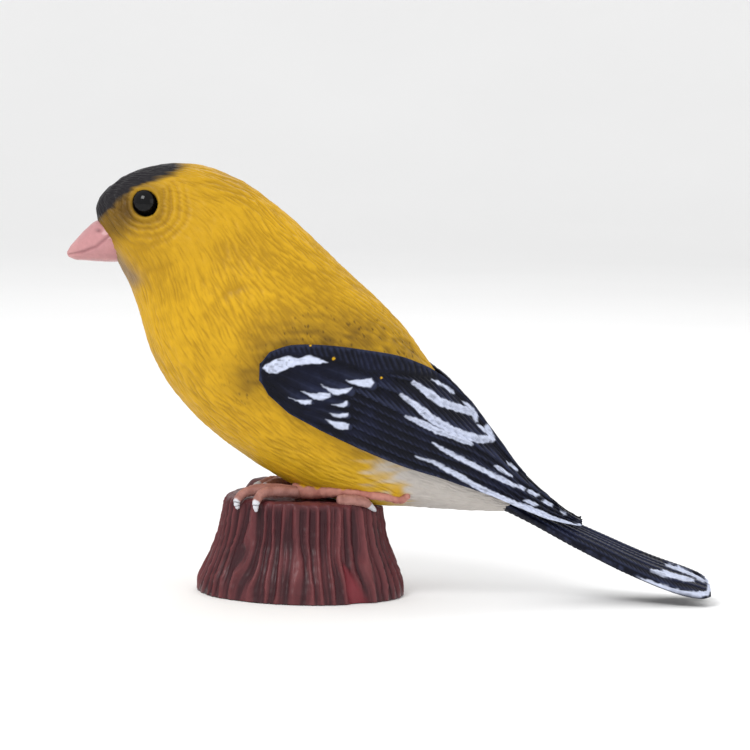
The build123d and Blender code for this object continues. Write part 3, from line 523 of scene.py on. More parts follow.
STRIPES = [
    ([(29.4, 58.9), (32.7, 56.6), (37.4, 53.4), (42.0, 52.2), (46.7, 50.9), (47.5, 49.0)], 1.9),
    ([(26.3, 55.2), (30.5, 52.3), (35.2, 48.7), (39.9, 46.1), (44.6, 44.3), (49.2, 43.5), (51.9, 44.0),
      (50.5, 47.3)], 2.1),
    ([(27.8, 49.4), (32.0, 47.7), (36.7, 45.5), (41.3, 44.2), (46.0, 42.3)], 1.6),
    ([(34.8, 59.8), (38.0, 58.4), (41.0, 56.3)], 1.0), ([(43.4, 54.1), (46.7, 51.6)], 0.9),
    ([(47.7, 47.7), (51.5, 45.0)], 0.8),
    ([(35.3, 42.3), (40.1, 39.6), (44.8, 37.4), (49.5, 35.2), (54.6, 32.7), (59.1, 31.0),
      (61.1, 30.2)], 1.35),
    ([(30.9, 38.4), (35.5, 37.1), (42.6, 33.6), (47.3, 30.9), (54.8, 27.6), (64.9, 23.9), (69.6, 21.9),
      (76.8, 20.2)], 1.5),
    ([(52.8, 36.4), (57.6, 33.7)], 1.1), ([(56.1, 37.6), (59.0, 35.4)], 0.9),
    ([(62.2, 29.7), (65.3, 28.6)], 1.0), ([(61.2, 27.1), (64.8, 25.8)], 0.8),
    ([(66.2, 27.0), (69.0, 25.7)], 0.9), ([(71.5, 24.3), (72.9, 23.3)], 0.8),
]
# Yellow drips on the wing: x, z and radius.
DRIPS = [(-7.0, 68.9, 0.5), (-6.3, 68.0, 0.4), (-3.3, 70.0, 0.45), (1.3, 68.0, 0.35), (7.7, 64.5, 0.42),
         (20.8, 59.7, 0.3)]


def surface_of(node):
    """Search tree over the mesh of a CAD node, in millimetres."""
    mesh = nodes[node].data
    corners = [v.co * 1000 for v in mesh.vertices]
    return BVHTree.FromPolygons(corners, [tuple(p.vertices) for p in mesh.polygons])


def wing_face(node):
    """Outer face of the moulded wing as a grid: rows from shoulder to tip, columns from low to high."""
    table = np.array(WING)
    share = np.linspace(0, 1, W_ROWS)
    x = np.interp(share ** 1.06, [0, 1], [table[0, 0], table[-1, 0]])
    position = np.interp(x, table[:, 0], np.arange(len(table)))
    edges = through(table, position)
    edges[:, 0] = x
    t = np.linspace(0.004, 0.996, W_COLUMNS)
    z = edges[:, 1:2] * (1 - t) + edges[:, 2:3] * t
    tree = surface_of(node)
    points = np.empty((W_ROWS, W_COLUMNS, 3))
    for i in range(W_ROWS):
        for j in range(W_COLUMNS):
            start = Vector((x[i], -60.0, z[i, j]))
            hit, facing = tree.ray_cast(start, Vector((0, 1, 0)))[:2]
            good = hit is not None and facing.y < -0.12
            points[i, j] = (x[i], hit.y if good else np.nan, z[i, j])
    columns = np.arange(W_COLUMNS)
    for row in points:
        known = np.isfinite(row[:, 1])
        if known.sum() > 8:
            row[:, 1] = np.interp(columns, columns[known], row[known, 1])
        else:
            row[:, 1] = np.nan
    rows = np.arange(W_ROWS)
    kept = np.isfinite(points[:, 0, 1])
    for j in columns:
        points[:, j, 1] = np.interp(rows, rows[kept], points[kept, j, 1])
    for _ in range(40):
        wide = np.pad(points[..., 1], 1, mode="edge")
        points[..., 1] = (wide[:-2, 1:-1] + wide[2:, 1:-1] + wide[1:-1, :-2] + wide[1:-1, 2:]) / 4
    return points


def wing_relief(points):
    """Height of the carved feathers over the moulded face."""
    x, y, z = points[..., 0], points[..., 1], points[..., 2]
    seen = seen_height(points)
    table = np.array(WING)
    low = np.interp(x, table[:, 0], table[:, 1]) - 2.2
    lines = [along_x(EDGE_3, x), along_x(EDGE_2, x), along_x(EDGE_1, x), along_x(FRINGE, x)]
    lanes = 6
    stack = [low + (lines[0] - low) * k / lanes for k in range(lanes + 1)] + lines[1:]
    height = np.zeros(x.shape)
    slant = 2 * math.pi * (x * 0.75 + seen * 0.66)
    for k in range(len(stack) - 1):
        width = np.maximum(stack[k + 1] - stack[k], 0.25)
        v = np.clip((seen - stack[k]) / width, 0, 1)
        here = (seen >= stack[k]) & (seen < stack[k + 1])
        drop = 0.62 if k < lanes else 0.75
        lane = drop * (1 - v) ** 1.4 - 0.2 * np.exp(-(v / 0.10) ** 2)
        barb = 0.09 * np.sin(slant / 0.8) if k < lanes else 0.14 * np.sin(slant / 1.15 + 2 * v)
        height = np.where(here, lane + barb, height)
    # Fringe of slanting barbs above the top feather edge.
    top = step(0, 1.2, seen - lines[3])
    comb = 0.30 * np.abs(np.sin(math.pi * (x * 0.92 + seen * 0.38) / 1.35 + 1.1 * noise(points, 3.5, 21)))
    height = height * (1 - top) + top * (0.15 + comb)
    # Smooth shoulder, then the overlapping coverts.
    front = 1 - step(11, 14, x)
    front *= step(-0.5, 0.5, lines[3] - seen)
    grooves = 0.16 * np.abs(np.sin(math.pi * (seen + 0.42 * x) / 2.3)) + 0.05 * np.sin(slant / 0.8)
    height = height * (1 - front) + front * grooves
    for k, (root, middle, tip, half) in enumerate(COVERTS):
        away, share = line_distance(x, seen, [root, middle, tip])
        body = np.interp(share, [0, 0.3, 0.8, 1], [0.55, 1, 1, 0.75]) * half
        dome = np.clip(1 - (away / body) ** 2, 0, 1)
        blade = 0.34 * np.sqrt(dome) * (0.45 + 0.75 * share) + 0.10 * step(0.7, 1, share)
        shaft = 0.06 * np.exp(-(away / 0.25) ** 2)
        height = np.where(away < body, np.maximum(height * 0.5, 0.12 + blade + shaft), height)
    rim_z = np.minimum(z - z[:, :1], z[:, -1:] - z)
    rim = np.exp(-(rim_z / 0.85) ** 2) * (x < 62) + np.exp(-((x + 12.3) / 1.0) ** 2)
    bumps = 0.5 + 0.5 * noise(points, 1.1, 22)
    height = height * (1 - 0.7 * np.clip(rim, 0, 1)) + np.clip(rim, 0, 1) * (0.28 + 0.34 * bumps)
    return height + 0.05 * noise(points, 0.9, 23)


def wing_paint(points, height):
    """Blue-black paint with brushed white marks and a few yellow drips."""
    x, y, z = points[..., 0], points[..., 1], points[..., 2]
    seen = seen_height(points)
    blue = step(-0.2, 0.7, noise(points, 5, 24))
    colour = mix(np.broadcast_to(linear(INK), points.shape), linear(INK_BLUE), 0.6 * blue)
    # Painted shade in the low grooves of the carving and painted highlight on its raised crests.
    colour = mix(colour, linear((6, 7, 12)), 0.6 * np.clip(0.12 - height, 0, 0.12) / 0.12)
    colour = mix(colour, linear(CREST_HIGHLIGHT), 0.55 * step(0.30, 0.62, height))
    ragged_x, ragged_z = x + 0.22 * noise(points, 0.8, 25), seen + 0.22 * noise(points, 0.8, 26)
    white = np.zeros(x.shape)
    for outline in PATCHES:
        white = np.maximum(white, patch(ragged_x, ragged_z, outline))
    for line, width in STRIPES:
        white = np.maximum(white, stroke(ragged_x, ragged_z, line, width))
    thin = step(0.25, 0.8, noise(points, (2.6, 0.5, 0.5), 27)) * 0.32
    thin += 0.35 * step(0.1, 0.6, noise(points, 0.6, 28)) * (x < -4)
    colour = mix(colour, linear(CHALK), np.clip(white * (1 - thin), 0, 1))
    for dx, dz, radius in DRIPS:
        away = np.hypot(x - dx, seen - dz)
        colour = mix(colour, linear(YELLOW), 1 - step(radius * 0.7, radius * 1.2, away))
    return colour


def two_sided(front, back):
    """Points and faces of a closed plate between two grids of the same size."""
    rows, columns = front.shape[:2]
    count = rows * columns
    faces = grid_faces(rows, columns) + grid_faces(rows, columns, count)
    loop = [j for j in range(columns)] + [i * columns + columns - 1 for i in range(1, rows)]
    loop += [(rows - 1) * columns + j for j in range(columns - 2, -1, -1)]
    loop += [i * columns for i in range(rows - 2, 0, -1)]
    for a, b in zip(loop, loop[1:] + loop[:1]):
        faces.append((a, b, b + count, a + count))
    return np.concatenate([front.reshape(-1, 3), back.reshape(-1, 3)]), faces


def box_points(low, high):
    """Corners and faces of a box drawn on the drive axes."""
    corners = [(x, y, z) for x in (low[0], high[0]) for y in (low[1], high[1]) for z in (low[2], high[2])]
    points = [DRIVE_AT + a * LONG + np.array([0, b, 0]) + c * UP for a, b, c in corners]
    faces = [(0, 1, 3, 2), (4, 6, 7, 5), (0, 4, 5, 1), (2, 3, 7, 6), (0, 2, 6, 4), (1, 5, 7, 3)]
    return np.array(points), faces


def add_wings():
    """Carved and painted wings, each with the tongue that enters the body."""
    base = wing_face("wing_left")
    normal, _, _ = grid_normals(base)
    normal *= -np.sign(normal[..., 1].mean())
    for _ in range(4):
        normal[1:-1, 1:-1] = (normal[:-2, 1:-1] + normal[2:, 1:-1] + normal[1:-1, :-2] + normal[1:-1, 2:]) / 4
    normal[:, [0, -1]] = normal[:, [1, -2]]
    normal[[0, -1]] = normal[[1, -2]]
    normal /= np.linalg.norm(normal, axis=-1, keepdims=True)
    height = wing_relief(base)
    front = base + normal * (height - 0.12)[..., None]
    thick = np.interp(base[..., 0], [-13, 50, 56, 78], [1.75, 1.75, 1.35, 1.2])
    back = base + np.stack([0 * thick, thick, 0 * thick], axis=-1)
    paint = wing_paint(base, height)
    points, faces = two_sided(front, back)
    dark = np.broadcast_to(linear(INK), back.shape)
    tongue, tongue_faces = box_points((7.5, -21.5, -1.2), (12.5, -13.6, 1.2))
    faces = faces + [tuple(k + len(points) for k in face) for face in tongue_faces]
    colours = np.concatenate([paint.reshape(-1, 3), dark.reshape(-1, 3), dark.reshape(-1, 3)[:8]])
    points = np.concatenate([points, tongue])
    for side, hand, body in ((1, "left", "wing_l"), (-1, "right", "wing_r")):
        add_mesh(f"feathers_{hand}", points * [1, side, 1], faces, feather, body, colours,
                 [f"wing_{hand}"])


# ---------------------------------------------------------------- tail
TAIL = [  # x, half width
    (50.5, 3.2), (57.0, 4.6), (64.0, 6.6), (76.0, 8.6), (90.0, 10.0), (104.0, 11.0), (111.5, 10.4),
    (113.8, 8.6)]
TAIL_MARKS = [
    ([(96.9, 8.6), (105.9, 6.6), (108.9, 6.1)], 1.5), ([(101.4, 10.2), (107.5, 8.2), (113.4, 5.6)], 1.2),
    ([(91.7, 6.6), (97.9, 4.4), (103.5, 2.8), (108.2, 2.1), (112.6, 2.6)], 1.8),
    ([(112.9, 2.6), (113.6, 4.2), (113.3, 5.8)], 1.2),
]


def add_tail():
    """Notched tail of overlapping long feathers with white outer edges."""
    rows, columns = 250, 110
    table = np.array(TAIL)
    t = np.linspace(-1, 1, columns)
    share = np.linspace(0, 1, rows)
    ends = np.minimum(113.7, 108.6 + 2.3 * np.abs(t) * 9.6)
    x = table[0, 0] + share[:, None] * (ends[None, :] - table[0, 0])
    y = t[None, :] * np.interp(x, table[:, 0], table[:, 1]) * 0.995
    tree = surface_of("tail")
    faces_of = []
    for start, way in ((60.0, -1), (-20.0, 1)):
        side = np.empty((rows, columns, 3))
        for i in range(rows):
            for j in range(columns):
                at = (x[i, j], y[i, j])
                hit = tree.ray_cast(Vector((*at, start)), Vector((0, 0, way)))[0]
                if hit is None:
                    middle = 30 - (at[0] - 50) * 0.4
                    near = tree.find_nearest(Vector((*at, middle)))[0]
                    hit = Vector((*at, near.z))
                side[i, j] = hit
        faces_of.append(side)
    top, low = faces_of
    lanes = np.abs(t)[None, :] * 5.5 + 0.35 * noise(top, 30, 31)
    part = lanes - np.floor(lanes)
    barb = np.sin(2 * math.pi * (x * 0.8 - np.abs(y) * 0.9) / 0.95)
    relief = 0.34 * part ** 1.5 - 0.16 * np.exp(-(part / 0.1) ** 2) + 0.07 * barb
    seen = top[..., 2] - 0.105 * np.abs(top[..., 1])
    edge = np.exp(-((1 - np.abs(t))[None, :] / 0.05) ** 2) * np.ones_like(x)
    relief = relief * (1 - edge) + edge * (0.2 + 0.2 * noise(top, 1.2, 32))
    for grid, way in ((top, 1), (low, -1)):
        grid[..., 2] += way * (relief - 0.1) * np.sin(np.clip((1 - np.abs(t)) * 12, 0, math.pi / 2))
    blue = step(-0.2, 0.7, noise(top, 5, 33))
    paint = mix(np.broadcast_to(linear(INK), top.shape), linear(INK_BLUE), 0.5 * blue)
    # Painted highlight on the raised lanes of the tail's top.
    paint = mix(paint, linear(CREST_HIGHLIGHT), 0.6 * step(0.12, 0.34, relief))
    ragged_x, ragged_z = x + 0.3 * noise(top, 0.9, 34), seen + 0.25 * noise(top, 0.9, 35)
    white = np.zeros(x.shape)
    for line, width in TAIL_MARKS:
        white = np.maximum(white, stroke(ragged_x, ragged_z, line, width))
    white = np.clip(white, 0, 1) * (1 - 0.3 * step(0.2, 0.7, noise(top, (2.5, 0.6, 0.6), 36)))
    paint = mix(paint, linear(CHALK), white)
    # The underside grows lighter towards each lane's raised edge, a painted highlight.
    under = mix(np.broadcast_to(linear(INK), top.shape), linear((70, 72, 84)), 0.4 * part)
    points, faces = two_sided(top, low)
    colours = np.concatenate([paint.reshape(-1, 3), under.reshape(-1, 3)])
    add_mesh("tail_feathers", points, faces, feather, "figure", colours, ["tail"])


# ---------------------------------------------------------------- beak
# Beak stations from root to tip: top (x, z), bottom (x, z), half width.
BEAK = [
    ((-55.2, 102.2), (-49.6, 91.4), 6.2), ((-59.0, 101.5), (-53.0, 90.3), 6.2),
    ((-61.8, 99.3), (-57.5, 90.2), 5.0), ((-64.2, 96.6), (-61.5, 90.4), 3.5),
    ((-66.0, 94.4), (-64.6, 90.5), 2.1), ((-66.9, 92.7), (-66.5, 91.3), 0.9)]


def add_beak():
    """Conical beak with a faint gape line, nostrils and a soft ridge."""
    rows, columns = 110, 96
    table = np.array([[*a, *b, c] for a, b, c in BEAK])
    lines = through(table, np.linspace(0, len(BEAK) - 1, rows))
    top, low, width = lines[:, 0:2], lines[:, 2:4], lines[:, 4]
    turn = np.linspace(0, 2 * math.pi, columns, endpoint=False)
    centre = (top + low) / 2
    flat = centre[:, None] + (top - centre)[:, None] * np.cos(turn)[None, :, None]
    y = -width[:, None] * np.sin(turn)[None, :]
    points = np.stack([flat[..., 0], y, flat[..., 1]], axis=-1)
    normal, _, _ = grid_normals(points)
    out = points - np.stack([centre[:, 0], 0 * width, centre[:, 1]], -1)[:, None]
    normal *= np.sign((normal * out).sum(-1).mean())
    x, z = points[..., 0], points[..., 2]
    mouth = [(-66.4, 92.0), (-62.5, 92.9), (-58.6, 94.6), (-55.6, 97.2), (-53.6, 98.6)]
    gape, _ = line_distance(x, z, mouth)
    relief = -0.30 * np.exp(-(gape / 0.30) ** 2) + 0.10 * np.exp(-((gape - 0.7) / 0.4) ** 2)
    nostril = np.hypot((x + 58.2) / 0.9, (z - 99.1) / 0.55)
    relief -= 0.35 * np.exp(-nostril ** 2) + 0.05 * noise(points, 1.3, 41)
    points = points + normal * relief[..., None]
    colour = np.broadcast_to(linear(HORN), points.shape)
    # Painted shade along the crease of the gape line and in the nostril pits.
    colour = mix(colour, linear(GAPE_CREASE_SHADE), np.exp(-(gape / 0.45) ** 2) * 0.8)
    colour = mix(colour, linear(NOSTRIL_PIT_SHADE), 0.8 * np.exp(-nostril ** 2))
    colour = mix(colour, linear(HORN_TIP), 0.5 * step(-62, -66.5, x))
    tip = points[-1].mean(0)
    flat_points = np.concatenate([points.reshape(-1, 3), [points[0].mean(0)], [tip + [-0.3, 0, 0]]])
    faces = grid_faces(rows, columns, wrap=True)
    last = rows * columns
    faces += [(last, (j + 1) % columns, j) for j in range(columns)]
    faces += [(last + 1, last - columns + j, last - columns + (j + 1) % columns) for j in range(columns)]
    colours = np.concatenate([colour.reshape(-1, 3), colour[0, :1], colour[-1, :1]])
    add_mesh("beak_shell", flat_points, faces, horn, "figure", colours, ["beak"])


# ---------------------------------------------------------------- stump
SEAT_AT, SEAT_Z, SEAT_SLOPE, SEAT_R = -12.0, 29.1, 0.152, 22.0
ROOF_LOW = 22.8
KNOLL, KNOLL_R = np.array([-11.0, 15.5, 24.0]), 6.0


def seat_and_knoll(skin, z):
    """Sinks the trough where the belly rests, and raises the bulge of bark behind the far foot."""
    floor = SEAT_Z - SEAT_SLOPE * (skin[..., 0] - SEAT_AT)
    trough = floor + SEAT_R - np.sqrt(np.clip(SEAT_R ** 2 - skin[..., 1] ** 2, 0, None)) - 0.05
    resting = (skin[..., 2] > trough) & (z > 20)
    skin[..., 2] = np.where(resting, np.maximum(trough, ROOF_LOW), skin[..., 2])
    away = np.hypot(skin[..., 0] - KNOLL[0], skin[..., 1] - KNOLL[1])
    cap = KNOLL[2] + np.sqrt(np.clip(KNOLL_R ** 2 - away ** 2, 0, None)) + 0.4 * noise(skin, 2.5, 59)
    raised = (away < KNOLL_R) & (z > 22)
    skin[..., 2] = np.where(raised, np.maximum(skin[..., 2], cap), skin[..., 2])


def add_stump():
    """Bark-clad stump: skin, crown and the hollow inside, as one closed shell."""
    around = 460
    outer = [(28.8, 0.0), (28.0, 4.0), (25.6, 9.6), (23.5, 15.2), (22.6, 20.0), (21.7, 25.0), (20.2, 26.8),
             (17.0, 26.6), (10.0, 26.2), (0.02, 26.0)]
    inner = [(0.02, 22.4), (10.0, 22.4), (18.4, 22.3), (19.6, 20.0), (20.5, 15.2), (22.6, 9.6), (25.1, 4.2),
             (26.0, 3.5), (26.0, 0.0), (27.4, 0.0)]
    skin_rows = through(outer, np.concatenate([np.linspace(0, 5, 84), np.linspace(5, 9, 50)[1:]]))
    inner_rows = np.array(inner)
    turn = np.linspace(0, 2 * math.pi, around, endpoint=False)
    ring = np.stack([np.cos(turn), np.sin(turn)], axis=-1)
    rows = np.concatenate([skin_rows, inner_rows])
    heights = np.broadcast_to(rows[:, None, 1:], (len(rows), around, 1))
    points = np.concatenate([rows[:, None, :1] * ring[None], heights], -1)
    count = len(skin_rows)
    skin_points = points[:count].copy()
    radius, z = skin_rows[:, :1], skin_points[..., 2]
    tall = skin_points * [1, 1, 0.16]
    tall[..., :2] += 0.9 * np.stack([noise(skin_points, 7, 51), noise(skin_points, 7, 52)], -1)
    drift = 1.9 * noise(tall, 6.5, 53) + 0.8 * noise(tall, 3.0, 54)
    phase = np.broadcast_to(turn, z.shape)
    ridges = (1 - np.abs(np.sin(phase * 21 + drift))) ** 1.4 + 0.35 * noise(tall, 4.0, 61)
    fine = 1 - np.abs(np.sin(phase * 47 + 1.8 * drift))
    on_side = step(27.2, 24.0, z) * step(12, 20, radius)
    top_side = 1 - on_side
    relief = on_side * (1.05 * (ridges - 0.45) + 0.42 * (fine - 0.5)) * step(-2, 4, z)
    relief += 0.14 * noise(skin_points, 1.5, 55) + 0.30 * on_side * noise(skin_points, (9, 9, 12), 56)
    facing = skin_points[..., 1] < 0
    x = skin_points[..., 0]
    deep = np.interp(z, [0, 3, 7, 11.5], [2.6, 2.4, 1.2, 0.1])
    hollow = facing * on_side * np.exp(-((x - 15.6 + 0.42 * (z - 3)) / np.maximum(deep, 0.2)) ** 4)
    hollow = hollow * (1 - step(9.5, 11.5, z))
    relief = relief * (1 - 0.8 * hollow) - 1.3 * hollow
    out = np.concatenate([np.broadcast_to(ring, skin_points.shape[:2] + (2,)), np.zeros(z.shape + (1,))], -1)
    skin_points += out * (relief * step(13, 21, radius))[..., None]
    crown = 0.35 * noise(skin_points, 3.2, 57) + 0.2 * noise(skin_points, 1.2, 58)
    crown = top_side * crown * step(0, 3, radius)
    skin_points[..., 2] = np.minimum(skin_points[..., 2] + crown, 27.6)
    seat_and_knoll(skin_points, z)
    points[:count] = skin_points
    # Painted shade in the grooves between the bark's ridges and painted highlight on the ridges; the crown
    # gets random pale patches.
    ridge_light = on_side * (ridges - 0.15 + 0.35 * fine)
    paint = np.broadcast_to(linear(MAROON), skin_points.shape)
    paint = mix(paint, linear(BARK_GROOVE_SHADE), (1 - step(-0.05, 0.4, ridge_light)) * on_side)
    paint = mix(paint, linear(BARK_PALE_AND_HIGHLIGHT), 0.6 * step(0.45, 1.0, ridge_light) * on_side)
    paint = mix(paint, linear(BARK_PALE_AND_HIGHLIGHT), top_side * 0.35 * step(-0.2, 0.8, noise(skin_points, 3, 60)))
    paint = mix(paint, linear(HEARTWOOD), np.clip(hollow, 0, 1))
    # Painted shade: the inside of the hollow is a darker maroon.
    hollow_shade_paint = np.broadcast_to(linear((40, 18, 22)), (len(inner_rows), around, 3))
    colours = np.concatenate([paint.reshape(-1, 3), hollow_shade_paint.reshape(-1, 3)])
    faces = grid_faces(len(rows), around, wrap=True)
    last = (len(rows) - 1) * around
    faces += [(last + j, last + (j + 1) % around, (j + 1) % around, j) for j in range(around)]
    add_mesh("stump_bark", points.reshape(-1, 3), faces, bark, "figure", colours, ["stump_shell"])


# ---------------------------------------------------------------- legs and feet
def tube(path, radii, rings, sides=28, rings_per_mm=1.1, ring_depth=0.10):
    """Points and faces of a closed round limb along a path, with scaly rings."""
    path = np.array(path, float)
    at = np.linspace(0, len(path) - 1, rings)
    line = through(path, at)
    radius = np.interp(at, np.arange(len(radii)), radii)
    ahead = np.gradient(line, axis=0)
    ahead /= np.linalg.norm(ahead, axis=1, keepdims=True)
    lift = np.array([0.0, 0.0, 1.0])
    across = np.cross(ahead, lift)
    short = np.linalg.norm(across, axis=1) < 0.2
    across[short] = np.cross(ahead[short], [0.0, 1.0, 0.0])
    across /= np.linalg.norm(across, axis=1, keepdims=True)
    upward = np.cross(across, ahead)
    length = np.concatenate([[0], np.cumsum(np.linalg.norm(np.diff(line, axis=0), axis=1))])
    scale = ring_depth * np.abs(np.sin(math.pi * length * rings_per_mm))
    ends = np.sqrt(np.clip(1 - np.clip((0.8 - length) / 0.8, 0, 1) ** 2, 0.01, 1))
    ends *= np.sqrt(np.clip(1 - np.clip((0.6 - (length[-1] - length)) / 0.6, 0, 1) ** 2, 0.01, 1))
    turn = np.linspace(0, 2 * math.pi, sides, endpoint=False)
    size = ((radius - ring_depth + scale) * ends)[:, None, None]
    points = line[:, None] + size * (np.cos(turn)[None, :, None] * across[:, None]
                                     + np.sin(turn)[None, :, None] * upward[:, None])
    points = points + 0.06 * noise(points, 0.8, 71)[..., None]
    faces = grid_faces(rings, sides, wrap=True)
    count = rings * sides
    faces += [(count, (j + 1) % sides, j) for j in range(sides)]
    faces += [(count + 1, count - sides + j, count - sides + (j + 1) % sides) for j in range(sides)]
    flat_points = np.concatenate([points.reshape(-1, 3), [line[0]], [line[-1]]])
    shares = np.concatenate([np.repeat(at / (len(path) - 1), sides), [0, 1]])
    return flat_points, faces, shares


# Centreline of the shank in the side view, from ankle to heel.
SHANK = [(-3.2, 28.8), (2.5, 29.0), (9.0, 29.3), (16.0, 29.0), (23.5, 28.3), (27.0, 27.7), (29.4, 29.0)]
# Centrelines of the front toes, with y counted outwards.
TOES = {
    "left": [
        [(-1.2, 10.6, 28.9), (-8.0, 9.4, 29.4), (-13.6, 8.5, 28.9), (-17.0, 8.0, 27.6)],
        [(-1.2, 10.8, 28.9), (-9.5, 11.8, 29.3), (-15.2, 13.0, 28.7), (-17.7, 15.1, 26.6),
         (-17.5, 15.4, 24.0)],
        [(-1.2, 11.2, 28.7), (-6.6, 14.2, 29.1), (-10.7, 16.9, 28.9), (-12.4, 19.7, 26.6),
         (-12.3, 20.0, 24.0)],
    ],
    "right": [
        [(-3.4, 10.6, 28.95), (-9.0, 10.2, 29.3), (-14.2, 9.4, 28.0)],
        [(-3.4, 10.6, 28.95), (-8.0, 7.0, 29.2), (-12.4, 3.4, 28.0)],
        [(-3.4, 10.6, 28.95), (-3.2, 14.6, 29.3), (-2.6, 18.6, 28.0)],
    ],
}
HIND = [(9.5, 16.2, 27.2), (13.0, 15.6, 27.5), (17.2, 13.8, 26.8), (20.4, 9.8, 24.0)]


def skin_reach(x, z):
    """How far the body's skin stands out sideways at a point of the side view."""
    skin = body_grid()[:, COLUMNS // 2:].reshape(-1, 3)
    near = np.argmin(np.hypot(skin[:, 0] - x, skin[:, 2] - z))
    return max(-skin[near, 1], 8.0)


def add_legs():
    """Tarsi, toes with pale claws, and the hind toes."""
    for hand, side in (("left", -1), ("right", 1)):
        toes = TOES[hand] + [HIND]
        points, faces, colours = [], [], []
        start = 0
        for path in toes:
            path = [(x, side * y, z) for x, y, z in path]
            radii = [1.6, 1.5, 1.4, 1.1, 0.5][: len(path)]
            radii[-1] = 0.4
            at, quads, share = tube(path, radii, 74)
            points.append(at)
            faces += [tuple(v + start for v in q) for q in quads]
            start += len(at)
            shade = noise(at, 1.4, 72)
            tint = np.broadcast_to(linear(TOE), at.shape)
            tint = mix(tint, linear(TOE_SHADE), 0.6 * step(-0.3, 0.6, shade))
            colours.append(mix(tint, linear(CLAW), step(0.74, 0.77, share + 0.03 * shade)))
        add_mesh(f"toes_{hand}", np.concatenate(points), faces, skin, "figure", np.concatenate(colours),
                 [f"foot_{hand}"])
        path = [(x, side * (skin_reach(x, z) + 0.5), z) for x, z in SHANK]
        at, quads, share = tube(path, [2.2, 2.4, 1.7, 1.3, 1.25, 1.5, 0.8], 150, 32, rings_per_mm=0.45,
                                ring_depth=0.16)
        shade = noise(at, 1.8, 73)
        tint = np.broadcast_to(linear(SALMON), at.shape)
        tint = mix(tint, linear(SALMON_SHADE), 0.55 * step(-0.2, 0.7, shade))
        upper = step(0.15, 0.5, at[:, 2] - 30.0 + 0.8 * shade)
        tint = mix(tint, linear(YELLOW), upper * step(0.1, 0.05, np.abs(share - 0.45) - 0.3))
        add_mesh(f"shank_{hand}", at, quads, skin, "figure", tint, [f"tarsus_{hand}"])


# ---------------------------------------------------------------- works and base
def add_finishes():
    """Materials for the pieces that keep their CAD shape."""
    steel = plain("zinc_screw", (176, 176, 172), (0.25, 0.42), metallic=1.0, shade=0.12, scale=1500,
                  stretch=(1, 1, 6))
    nickel = plain("nickel_plate", (206, 204, 198), (0.16, 0.3), metallic=1.0, shade=0.08, scale=1200)
    iron = plain("soft_iron", (134, 134, 136), (0.34, 0.5), metallic=1.0, shade=0.16, scale=900)
    acetal = plain("natural_acetal", (226, 222, 210), (0.34, 0.46), shade=0.04, scale=500)
    black = plain("base_moulding", (30, 29, 31), (0.42, 0.6), shade=0.18, scale=1400, bump=0.6)
    knob = plain("switch_knob", (20, 20, 22), (0.35, 0.5), shade=0.2, scale=1600, bump=0.5)
    board = plain("solder_mask", (24, 92, 50), (0.2, 0.32), coat=0.4, shade=0.12, scale=1100)
    chip = plain("moulded_chip", (26, 26, 28), (0.5, 0.65), shade=0.15, scale=2600, bump=0.5)
    sleeve = plain("lead_sleeve", (140, 24, 22), (0.4, 0.5), shade=0.1, scale=900)
    copper = plain("enamelled_copper", (150, 74, 36), (0.22, 0.34), metallic=1.0, shade=0.16, scale=700,
                   bump=0.9, stretch=(8, 1, 8))
    finish_of = {
        "beak": horn, "eye_bead": bead, "base_moulding": black, "knob": knob, "plated_steel": nickel,
        "cell_case": nickel, "board": board, "chip": chip, "lead_sleeve": sleeve, "screw_steel": steel,
        "drive_moulding": acetal, "soft_iron": iron, "copper_wire": copper,
    }
    for row in frame["record"]["subparts"]:
        finish = finish_of.get(row["material_slot"])
        if finish and not nodes[row["node"]].hide_render:
            materials = nodes[row["node"]].data.materials
            materials.clear()
            materials.append(finish)


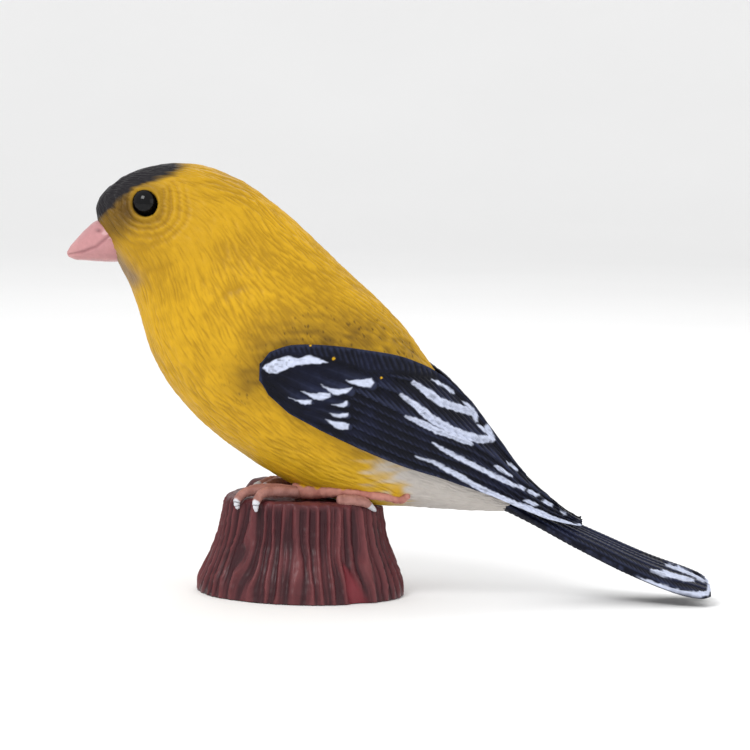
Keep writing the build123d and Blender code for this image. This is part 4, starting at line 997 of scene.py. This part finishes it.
# ---------------------------------------------------------------- stage
def add_stage():
    """Pale floor, soft light from the upper left, and the camera of the side view."""
    scene = bpy.context.scene
    mesh = bpy.data.meshes.new("floor")
    bend, radius, sunk = 1.6, 0.8, -0.0002
    sweep = [(-4.0, sunk), (bend, sunk)]
    for turn in np.linspace(0.1, math.pi / 2, 16):
        sweep.append((bend + math.sin(turn) * radius, sunk + radius - math.cos(turn) * radius))
    sweep.append((bend + radius, 4.0))
    points = [(x, y, z) for y, z in sweep for x in (-5, 5)]
    mesh.from_pydata(points, [], grid_faces(len(sweep), 2))
    mesh.polygons.foreach_set("use_smooth", [True] * len(mesh.polygons))
    floor = bpy.data.objects.new("floor", mesh)
    scene.collection.objects.link(floor)
    mesh.materials.append(plain("pale_floor", (246, 246, 246), (0.7, 0.8), shade=0.01, scale=6, bump=0.02))
    world = bpy.data.worlds.new("studio")
    world.use_nodes = True
    world.node_tree.nodes["Background"].inputs["Color"].default_value = (1, 1, 1, 1)
    world.node_tree.nodes["Background"].inputs["Strength"].default_value = 0.88
    scene.world = world
    scene.view_settings.view_transform = "Standard"
    middle = Vector((0.0191, 0.0, 0.0608))
    for name, offset, size, power in (
            ("key", (-0.45, -0.75, 0.85), 0.42, 6.5), ("fill", (0.8, -0.7, 0.35), 0.6, 1.0),
            ("back", (0.2, 0.8, 0.8), 0.6, 2.5)):
        light = bpy.data.lights.new(name, "AREA")
        light.size = size
        light.energy = power
        lamp = bpy.data.objects.new(name, light)
        lamp.location = middle + Vector(offset)
        lamp.rotation_euler = (-Vector(offset)).to_track_quat("-Z", "Y").to_euler()
        scene.collection.objects.link(lamp)
    view = bpy.data.cameras.new("camera")
    distance, seen_width = 1.2, 0.208
    tilt, roll = math.radians(5.0), math.radians(1.6)
    view.lens = view.sensor_width * distance / seen_width
    view.clip_start, view.clip_end = 0.05, 30
    camera = bpy.data.objects.new("camera", view)
    back = Vector((0, -math.cos(tilt), math.sin(tilt)))
    camera.location = middle + back * distance
    facing = (-back).to_track_quat("-Z", "Y")
    camera.rotation_mode = "QUATERNION"
    camera.rotation_quaternion = facing @ Quaternion((0, 0, 1), roll)
    scene.collection.objects.link(camera)
    scene.camera = camera


add_body()
add_wings()
add_tail()
add_beak()
add_stump()
add_legs()
add_finishes()
add_stage()
